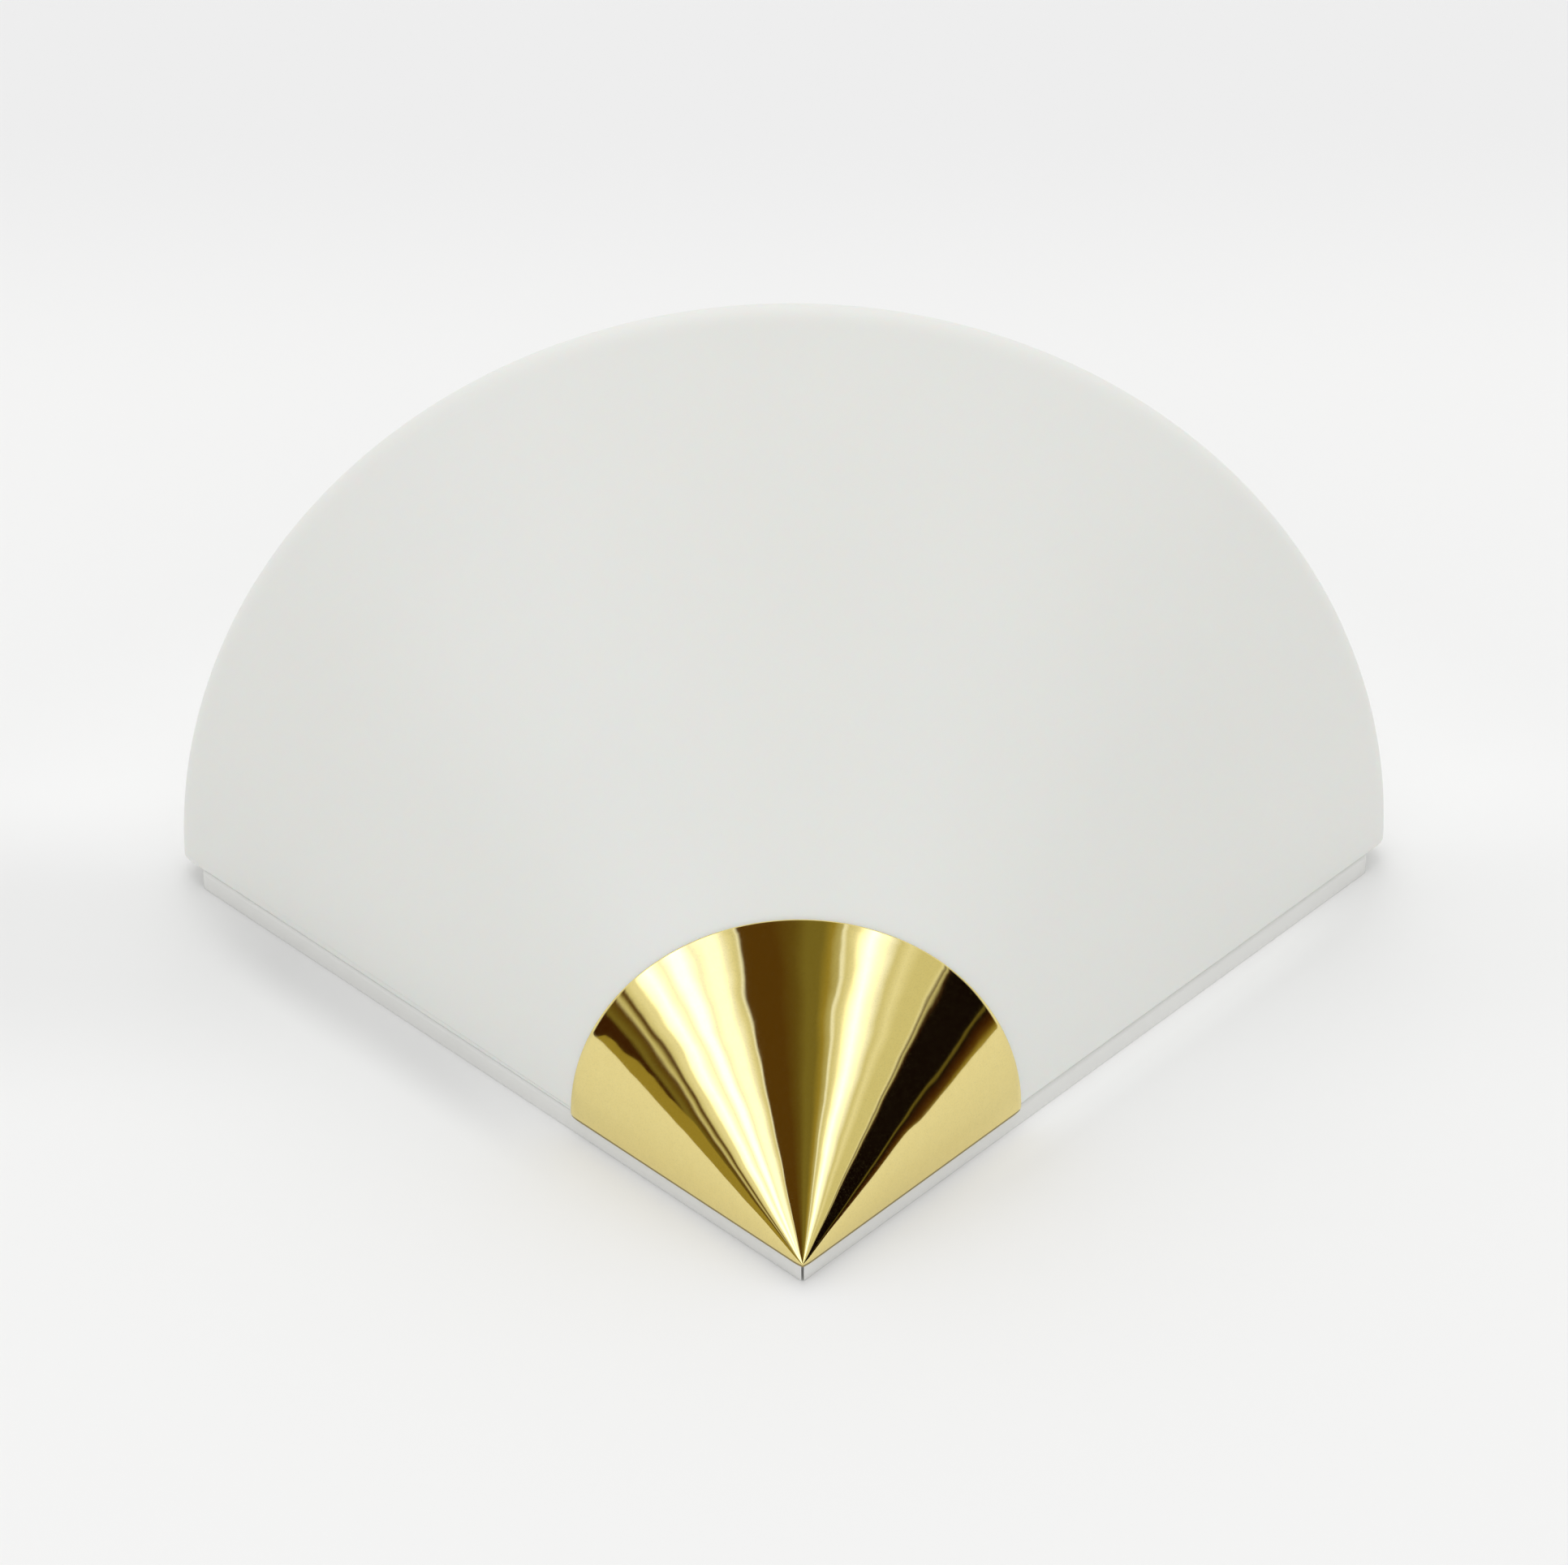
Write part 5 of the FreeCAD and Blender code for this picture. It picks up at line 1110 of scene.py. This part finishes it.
def lampholder():
    outer, wall, step = holderLook["radius"], holderLook["wall"], holderLook["step"]
    flat, bore, mouth = holderLook["dome"], holderLook["bore"], holderLook["mouth"]
    inner = outer - wall

    def onHolder(name, node, points, sharpAngle=35, **sizes):
        onLamp(name, turned(name, points, closed=True, **sizes), node, nodeBox(node)[0].x, sharpAngle)

    length = lengthOf("holder_cap")
    half = length / 2
    onHolder("holder_dome", "holder_cap", [
        (bore, 0), (flat, 0, 1.5), (outer - step, half, 4), (outer - step, half + 1.5, 0.2),
        (outer, half + 3, 0.3), (outer, length, 0.25), (inner, length), (inner, half + 4),
        (inner - step, half + 1), (flat - wall, 3), (bore, 3),
    ], sides=96)
    length = lengthOf("holder_body")
    onHolder("holder_sleeve", "holder_body", [
        (inner, 0), (outer, 0, 0.25), (outer, 3.6, 0.05), (outer - 0.3, 4.0), (outer - 0.3, 4.8),
        (outer, 5.2, 0.05), (outer, length, 2.4), (mouth, length, 0.7), (mouth, length - wall, 0.3),
        (inner, length - wall),
    ], sides=384, step=1.5,
        ribs=(holderLook["flutes"], holderLook["fluteDepth"], 7, length - 5.5, outer - 0.1))
    length, hole = lengthOf("contact_sleeve"), holderLook["sleeveBore"]
    edge = hole + holderLook["sleeveWall"]
    onHolder("screw_sleeve", "contact_sleeve", [(hole, 0), (edge, 0), (edge, length), (hole, length)], 40,
             sides=96, step=0.3, thread=(*threads["lampSleeve"], 0, length, hole - 1))
    length, hole = lengthOf("holder_nipple"), holderLook["tubeBore"]
    onHolder("threaded_tube", "holder_nipple", [
        (hole, 0, 0.2), (5, 0, 0.3), (5, length, 0.3), (hole, length, 0.2),
    ], 40, step=0.15, thread=(*threads["tube"], 0, length, 4.6))
    length, edge = lengthOf("nipple_washer"), holderLook["washer"]
    onHolder("tube_washer", "nipple_washer", [
        (bore, 0, 0.12), (edge, 0, 0.25), (edge, length, 0.12), (bore, length, 0.12),
    ], 30, sides=72, arcs=3)


lampholder()
print("lampholder made")

lampLook = {
    "ball": 30,
    "length": 105,         # contact to crown
    "neck": 14.2,
    "hollow": 34,          # hollow curve from neck to ball
    "steps": (48, 16),     # of the ball's outline and the hollow's
    "glass": 1,
    "base": 13.2,
    "shellFoot": 4.1,
    "shellEnd": 27.1,
    "crimp": 23.1,
    "collar": 0.15,        # collar past the neck
    "sheet": 0.4,
    "contact": 4.5,
    "stem": 36,
}
filamentLook = {
    "rise": 12,            # ends above the stem
    "span": 12,            # half of its width
    "arch": 2,
    "steps": 40,
    "turns": 46,
    "coil": 0.38,
    "wire": 0.12,
    "leadFoot": (1.575, 0.35),    # where the thicker lead wires stand, and their radius there
    "leadTop": 0.3,
}


def glassOutline(shrink):
    # (radius, height) from the crown to the open end of the neck, over the ball and the hollow curve
    ball, neck, blend = lampLook["ball"] - shrink, lampLook["neck"] - shrink, lampLook["hollow"] + shrink
    centre = lampLook["length"] - lampLook["ball"]
    reach = math.sqrt((ball + blend) ** 2 - (neck + blend) ** 2)
    meet = math.atan2(reach, neck + blend)      # below the level of the ball's middle
    points = []
    ballSteps, neckSteps = lampLook["steps"]
    for step in range(ballSteps + 1):
        angle = math.pi / 2 - (math.pi / 2 + meet) * step / ballSteps
        points.append((ball * math.cos(angle), centre + ball * math.sin(angle)))
    for step in range(1, neckSteps + 1):
        angle = meet * (1 - step / neckSteps)
        points.append((neck + blend - blend * math.cos(angle), centre - reach + blend * math.sin(angle)))
    return points + [(neck, lampLook["crimp"])]


def lamp():
    base, foot, end, crimp = (lampLook[key] for key in ("base", "shellFoot", "shellEnd", "crimp"))
    contact, sheet = lampLook["contact"], lampLook["sheet"]
    collar = lampLook["neck"] + lampLook["collar"]
    start = nodeBox("bulb_contact")[0].x

    def onBulb(name, node, points, sharpAngle=35, **sizes):
        onLamp(name, turned(name, points, **sizes), node, start, sharpAngle)

    outer, inner = glassOutline(0), glassOutline(lampLook["glass"])
    inner[0], outer[0] = (0, inner[0][1]), (0, outer[0][1])
    onBulb("lamp_bulb", "bulb_glass", outer + inner[::-1], 60, sides=96)
    slopeEnd = crimp - (collar + sheet - base)
    onBulb("lamp_shell", "bulb_shell", [
        (contact + 2, foot), (base - 1, foot, 0.3), (base, foot + 2, 0.6), (base, slopeEnd, 0.3),
        (collar + sheet, crimp, 0.4), (collar + sheet, end + 2, 0.15), (collar, end + 2), (collar, crimp),
        (base - sheet, slopeEnd), (base - sheet, foot + 2.4), (base - 1 - sheet, foot + sheet),
        (contact + 2, foot + sheet),
    ], 40, closed=True, sides=96, step=0.3,
        thread=(*threads["lampShell"], foot + 2, slopeEnd, base - 0.6))
    onBulb("lamp_insulator", "bulb_insulator", [
        (contact * 0.5, 1.6), (contact * 1.1, 1.6, 0.3), (base - 2, foot, 0.5), (contact * 0.5, foot),
    ], closed=True, sides=64)
    onBulb("lamp_contact", "bulb_contact", [
        (0, 0), (contact * 0.7, 0, 1.6), (contact, 0.64, 0.3), (contact, 1.6), (0, 1.6),
    ])
    stemFoot = crimp + 1.5
    stemTop = stemFoot + lampLook["stem"]
    flare = lampLook["neck"] - lampLook["glass"] - 0.1
    onBulb("lamp_stem", "bulb_stem", [
        (0, stemFoot), (flare, stemFoot, 0.4), (flare, stemFoot + 1.5, 0.5), (contact, stemFoot + 10, 6),
        (contact, stemTop - 4, 0.8), (contact * 0.6, stemTop, 0.8), (0, stemTop),
    ], 50, sides=64)
    onLamp("lamp_filament", filament(stemTop + 0.35), "bulb_filament", start, 40)


def filament(foot):
    # coil between two lead-in wires, on an arch
    span, arch = filamentLook["span"], filamentLook["arch"]
    top = foot + filamentLook["rise"]
    bend = (span ** 2 + arch ** 2) / (2 * arch)
    swing = math.asin(span / bend)
    arc = []
    steps = filamentLook["steps"]
    for step in range(steps + 1):
        angle = swing * (2 * step / steps - 1)
        arc.append(Vector((bend * math.sin(angle), 0, top + arch - bend + bend * math.cos(angle))))
    sizes = {"Turns": filamentLook["turns"], "Coil radius": filamentLook["coil"],
             "Wire radius": filamentLook["wire"]}
    work = bmesh.new()
    work.from_mesh(grown("coil", "coil", outlineMesh("arc", arc, False), sizes))
    aside, thick = filamentLook["leadFoot"]
    for side in (-1, 1):
        start, finish = Vector((side * aside, 0, foot)), Vector((side * span, 0, top))
        turn = Vector((0, 0, 1)).rotation_difference(finish - start).to_matrix().to_4x4()
        bmesh.ops.create_cone(work, cap_ends=True, segments=12, radius1=thick,
                              radius2=filamentLook["leadTop"], depth=(finish - start).length,
                              matrix=Matrix.Translation((start + finish) / 2) @ turn)
    return outward(meshFrom(work, "filament"))


lamp()
print("lamp made")

# the stage: lengths here are metres, and (none, full) are the two values that a tone fades between
wallLook = {
    "colour": (0.905, 0.905, 0.9),
    "high": (0.85, 0.85, 0.85),
    "highLevels": (0.32, 0.52),
    "reach": 6,
    "gap": 0.0001,                  # behind the plate
    "opening": (0.01, 0.007, 0.003),    # inside the plate's point, upper corners and top
    "paintedLight": 0.055,                  # painted light beside the rim
    "paintedLightMiddle": 0.03,
    "paintedLightRadii": (0.25, 0.16),
    "paintedLightLevels": (0.055, 0.12),
    "wideShade": 0.07,              # painted shadow level with the upper corners, out to both sides, more to the left
    "wideLevels": (-0.04, 0.03),
    "wideSides": (0.09, 0.15),
    "wideLean": (0.7, 2),           # share in the middle, and more of it per metre to the left
    "shadeEnd": (0.12, 0.065),
    "nearShade": 0.14,              # painted shadow close along the left slanting edge
    "nearMiddle": 0.008,
    "nearReach": 0.014,
    "nearSides": ((-0.05, -0.09), (-0.152, -0.122)),
    "paintedStripLight": 0.12,              # painted light strip close along the right one
    "stripReach": 0.014,
    "stripSides": ((0.03, 0.06), (0.15, 0.12)),
    "mirroredReach": 0.37,          # each way of the wall that polished metal sees
}
# soft sources ahead of the wall: one above, one almost straight ahead
keyLights = [
    {"from": (-0.03, -0.71, 0.7), "strength": 1.4, "spread": 22},
    {"from": (-0.04, -0.99, 0.1), "strength": 1.8, "spread": 40},
]


def standStage(name, mesh, finish, factor, plain, other):
    # a part of the stage, whose surface goes from one shader to another by a factor
    shown = finish.node("ShaderNodeMixShader", inputs={0: factor, 1: plain, 2: other})
    finish.node("ShaderNodeOutputMaterial", inputs={0: shown})
    mesh.materials.append(finish.material)
    piece = holding(name, mesh)


def wallTone(finish, x, z):
    # white, with painted shade greyer far above, and soft light and shadow painted beside the plate
    def beside(side):
        # distance outside the plate's slanting edge on one side
        return (x * side - (z + shared["mountRise"] * mm) * slope) / slant

    colour = wallLook["colour"]
    away = (x * x + (z - wallLook["paintedLightMiddle"]) * (z - wallLook["paintedLightMiddle"])).maths("SQRT")
    paintedLightMask = away.eased(*wallLook["paintedLightRadii"]) * z.eased(*wallLook["paintedLightLevels"])
    # painted shade: the wall greyer far above
    tone = finish.blend(z.eased(*wallLook["highLevels"]), colour, wallLook["high"])
    # painted light: the wall made lighter close beside the rim
    tone = finish.blend(paintedLightMask, tone, tuple(c + wallLook["paintedLight"] for c in colour))
    aside = x.maths("ABSOLUTE").eased(*wallLook["wideSides"])
    middling, lean = wallLook["wideLean"]
    wideShadowMask = z.eased(*wallLook["wideLevels"]) * aside * (middling - x * lean)
    nearShadowMask = (beside(-1) - wallLook["nearMiddle"]).maths("ABSOLUTE").eased(wallLook["nearReach"], 0)
    stripLightMask = beside(1).maths("ABSOLUTE").eased(wallLook["stripReach"], 0)
    for sides in wallLook["nearSides"]:
        nearShadowMask = nearShadowMask * x.eased(*sides)
    for sides in wallLook["stripSides"]:
        stripLightMask = stripLightMask * x.eased(*sides)
    # painted shadow: the wall darkened beside the plate's slanting edges and corners
    shade = (wideShadowMask * wallLook["wideShade"] + nearShadowMask * wallLook["nearShade"]) * z.eased(*wallLook["shadeEnd"])
    tone = finish.blend(shade, tone, (0.0, 0.0, 0.0))
    # painted light: a brighter strip on the wall along the plate's right edge
    return finish.blend(stripLightMask * wallLook["paintedStripLight"], tone, (2.0, 2.0, 2.0))


def stageWall():
    # a pale wall with an opening hidden behind the plate, so its back gets light too
    low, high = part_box("backplate")
    point, corner, top = wallLook["opening"]
    reach = wallLook["reach"]
    inner = [(0, low.z + point), (high.x - corner, high.z - top), (low.x + corner, high.z - top)]
    outer = [(0, -reach), (reach, reach), (-reach, reach)]
    work = bmesh.new()
    a, b = ([work.verts.new((x, wallLook["gap"], z)) for x, z in corners] for corners in (inner, outer))
    for i in range(3):
        j = (i + 1) % 3
        work.faces.new((a[i], b[i], b[j], a[j]))
    mesh = meshFrom(work, "wall")
    finish = Finish("wall_white")
    x, _, z = finish.parts(finish.coords)
    diffuse = finish.node("ShaderNodeBsdfDiffuse", inputs={0: wallTone(finish, x, z)})
    behind = finish.node("ShaderNodeNewGeometry", output="Backfacing")
    mirrored = finish.node("ShaderNodeLightPath", output="Is Glossy Ray")
    beyond = mirrored * (x.maths("ABSOLUTE") > wallLook["mirroredReach"])
    standStage("wall", mesh, finish, behind.maths("MAXIMUM", beyond), diffuse,
               finish.node("ShaderNodeBsdfTransparent"))


stageWall()

# What polished metal sees round it: strength and tint of the room, by degrees from straight ahead of the
# wall towards +X. Bright panels stand left and right, with dark gaps beside them.
tones = {
    "wall": (0.87, 0.87, 0.84), "lamp": (2.6, 2.7, 3.3), "haze": (1.9, 1.95, 2.2), "cream": (1.12, 1.2, 1.6),
    "pale": (0.92, 0.93, 0.9), "soft": (0.73, 0.72, 0.57), "dim": (0.5, 0.47, 0.28),
    "olive": (0.35, 0.28, 0.06), "moss": (0.2, 0.165, 0.04), "bark": (0.135, 0.092, 0.016),
    "brown": (0.1, 0.048, 0.005), "umber": (0.045, 0.014, 0.002), "black": (0.004, 0.0012, 0.001),
}
leftPanels = [
    (-180, "wall"), (-98, "soft"), (-96.2, "moss"), (-95, "umber"), (-85.8, "umber"), (-84.2, "moss"),
    (-82, "bark"), (-79.8, "brown"), (-78.4, "soft"), (-77, "dim"), (-75.6, "brown"), (-74.6, "brown"),
    (-73.2, "soft"), (-70, "pale"), (-67.8, "pale"), (-66, "haze"), (-61, "lamp"), (-57.5, "haze"),
    (-54.5, "cream"), (-50, "lamp"), (-47, "lamp"), (-43, "cream"), (-38.5, "haze"), (-33.5, "haze"),
    (-31, "cream"), (-28.5, "pale"), (-26.2, "soft"), (-25.2, "cream"), (-24, "brown"), (-8, "brown"),
    (0, "bark"),
]
rightPanels = [
    (0, "bark"), (6, "moss"), (12, "moss"), (17, "olive"), (19.8, "dim"), (21, "dim"), (22, "cream"),
    (24, "soft"), (27, "pale"), (30, "haze"), (33.5, "lamp"), (37, "haze"), (41, "cream"), (44.5, "soft"),
    (48.5, "pale"), (53, "soft"), (61.5, "soft"), (62.6, "pale"), (63.8, "umber"), (64.8, "soft"),
    (66, "umber"), (67.5, "black"), (85, "black"), (86, "moss"), (87, "black"), (90, "umber"), (92, "brown"),
    (94, "olive"), (96.5, "dim"), (98.5, "soft"), (180, "wall"),
]
nearPanelOutline = [(0, -0.25), (-0.058, -0.25), (-0.058, -0.128), (0, -0.06)]     # y and z
roomLook = {
    "front": 0.86,                # light from straight ahead
    "back": 0.8,                  # from behind the wall
    "between": (0.5, 0.9),        # share of the front light level with the wall, and its growth ahead
    "panelLevels": (0.16, 0.24),  # upward share of a direction where the panels end
    "seen": 0.9,                  # what the camera sees past the wall
}


def nearPanel():
    # a dull strip standing on the wall to the left, which only reflections see
    mesh = bpy.data.meshes.new("panel")
    places = [(-wallLook["mirroredReach"], y, z) for y, z in nearPanelOutline]
    mesh.from_pydata(places, [], [range(len(places))])
    finish = Finish("panel_dull")
    mirrored = finish.node("ShaderNodeLightPath", output="Is Glossy Ray")
    standStage("panel", mesh, finish, mirrored, finish.node("ShaderNodeBsdfTransparent"),
               finish.node("ShaderNodeEmission", inputs={0: tones["olive"]}))


nearPanel()


def lightRoom():
    world = bpy.data.worlds.new("studio")
    scene.world = world
    world.use_nodes = True
    graph = Graph(world.node_tree)
    graph.tree.nodes.clear()
    ray = graph.node("ShaderNodeTexCoord", output="Generated")
    x, y, z = graph.parts(ray)
    side = x.maths("ARCTAN2", y * -1) / math.pi     # -1 to 1
    left = graph.node("ShaderNodeValToRGB", {"stops": [(a / 180 + 1, tones[t]) for a, t in leftPanels]},
                      {0: side + 1})
    right = graph.node("ShaderNodeValToRGB", {"stops": [(a / 180, tones[t]) for a, t in rightPanels]},
                       {0: side})
    panelEnd, paleFrom = roomLook["panelLevels"]
    above = ((z - panelEnd) / (paleFrom - panelEnd)).held(0, 1)
    mirrored = graph.blend(above, graph.blend(side > 0, left, right), tones["pale"])
    level, growth = roomLook["between"]
    soft = (level - y * growth).held(0, 1) * (roomLook["front"] - roomLook["back"]) + roomLook["back"]
    for key in keyLights:
        facing = graph.node("ShaderNodeVectorMath", {"operation": "DOT_PRODUCT"}, {0: ray, 1: key["from"]},
                            output="Value")
        soft = soft + facing.held(0, 1) ** key["spread"] * key["strength"]
    rays = graph.node("ShaderNodeLightPath")
    light = graph.node("ShaderNodeBackground", inputs={0: (1, 1, 1), 1: soft})
    for kind, colour in (("Is Glossy Ray", mirrored), ("Is Camera Ray", (roomLook["seen"],) * 3)):
        seen = graph.node("ShaderNodeBackground", inputs={0: colour, 1: 1.0})
        light = graph.node("ShaderNodeMixShader", inputs={0: rays.other(kind), 1: light, 2: seen})
    graph.node("ShaderNodeOutputWorld", inputs={0: light})


lightRoom()
scene.view_settings.view_transform = "Standard"
print("wall and light set")
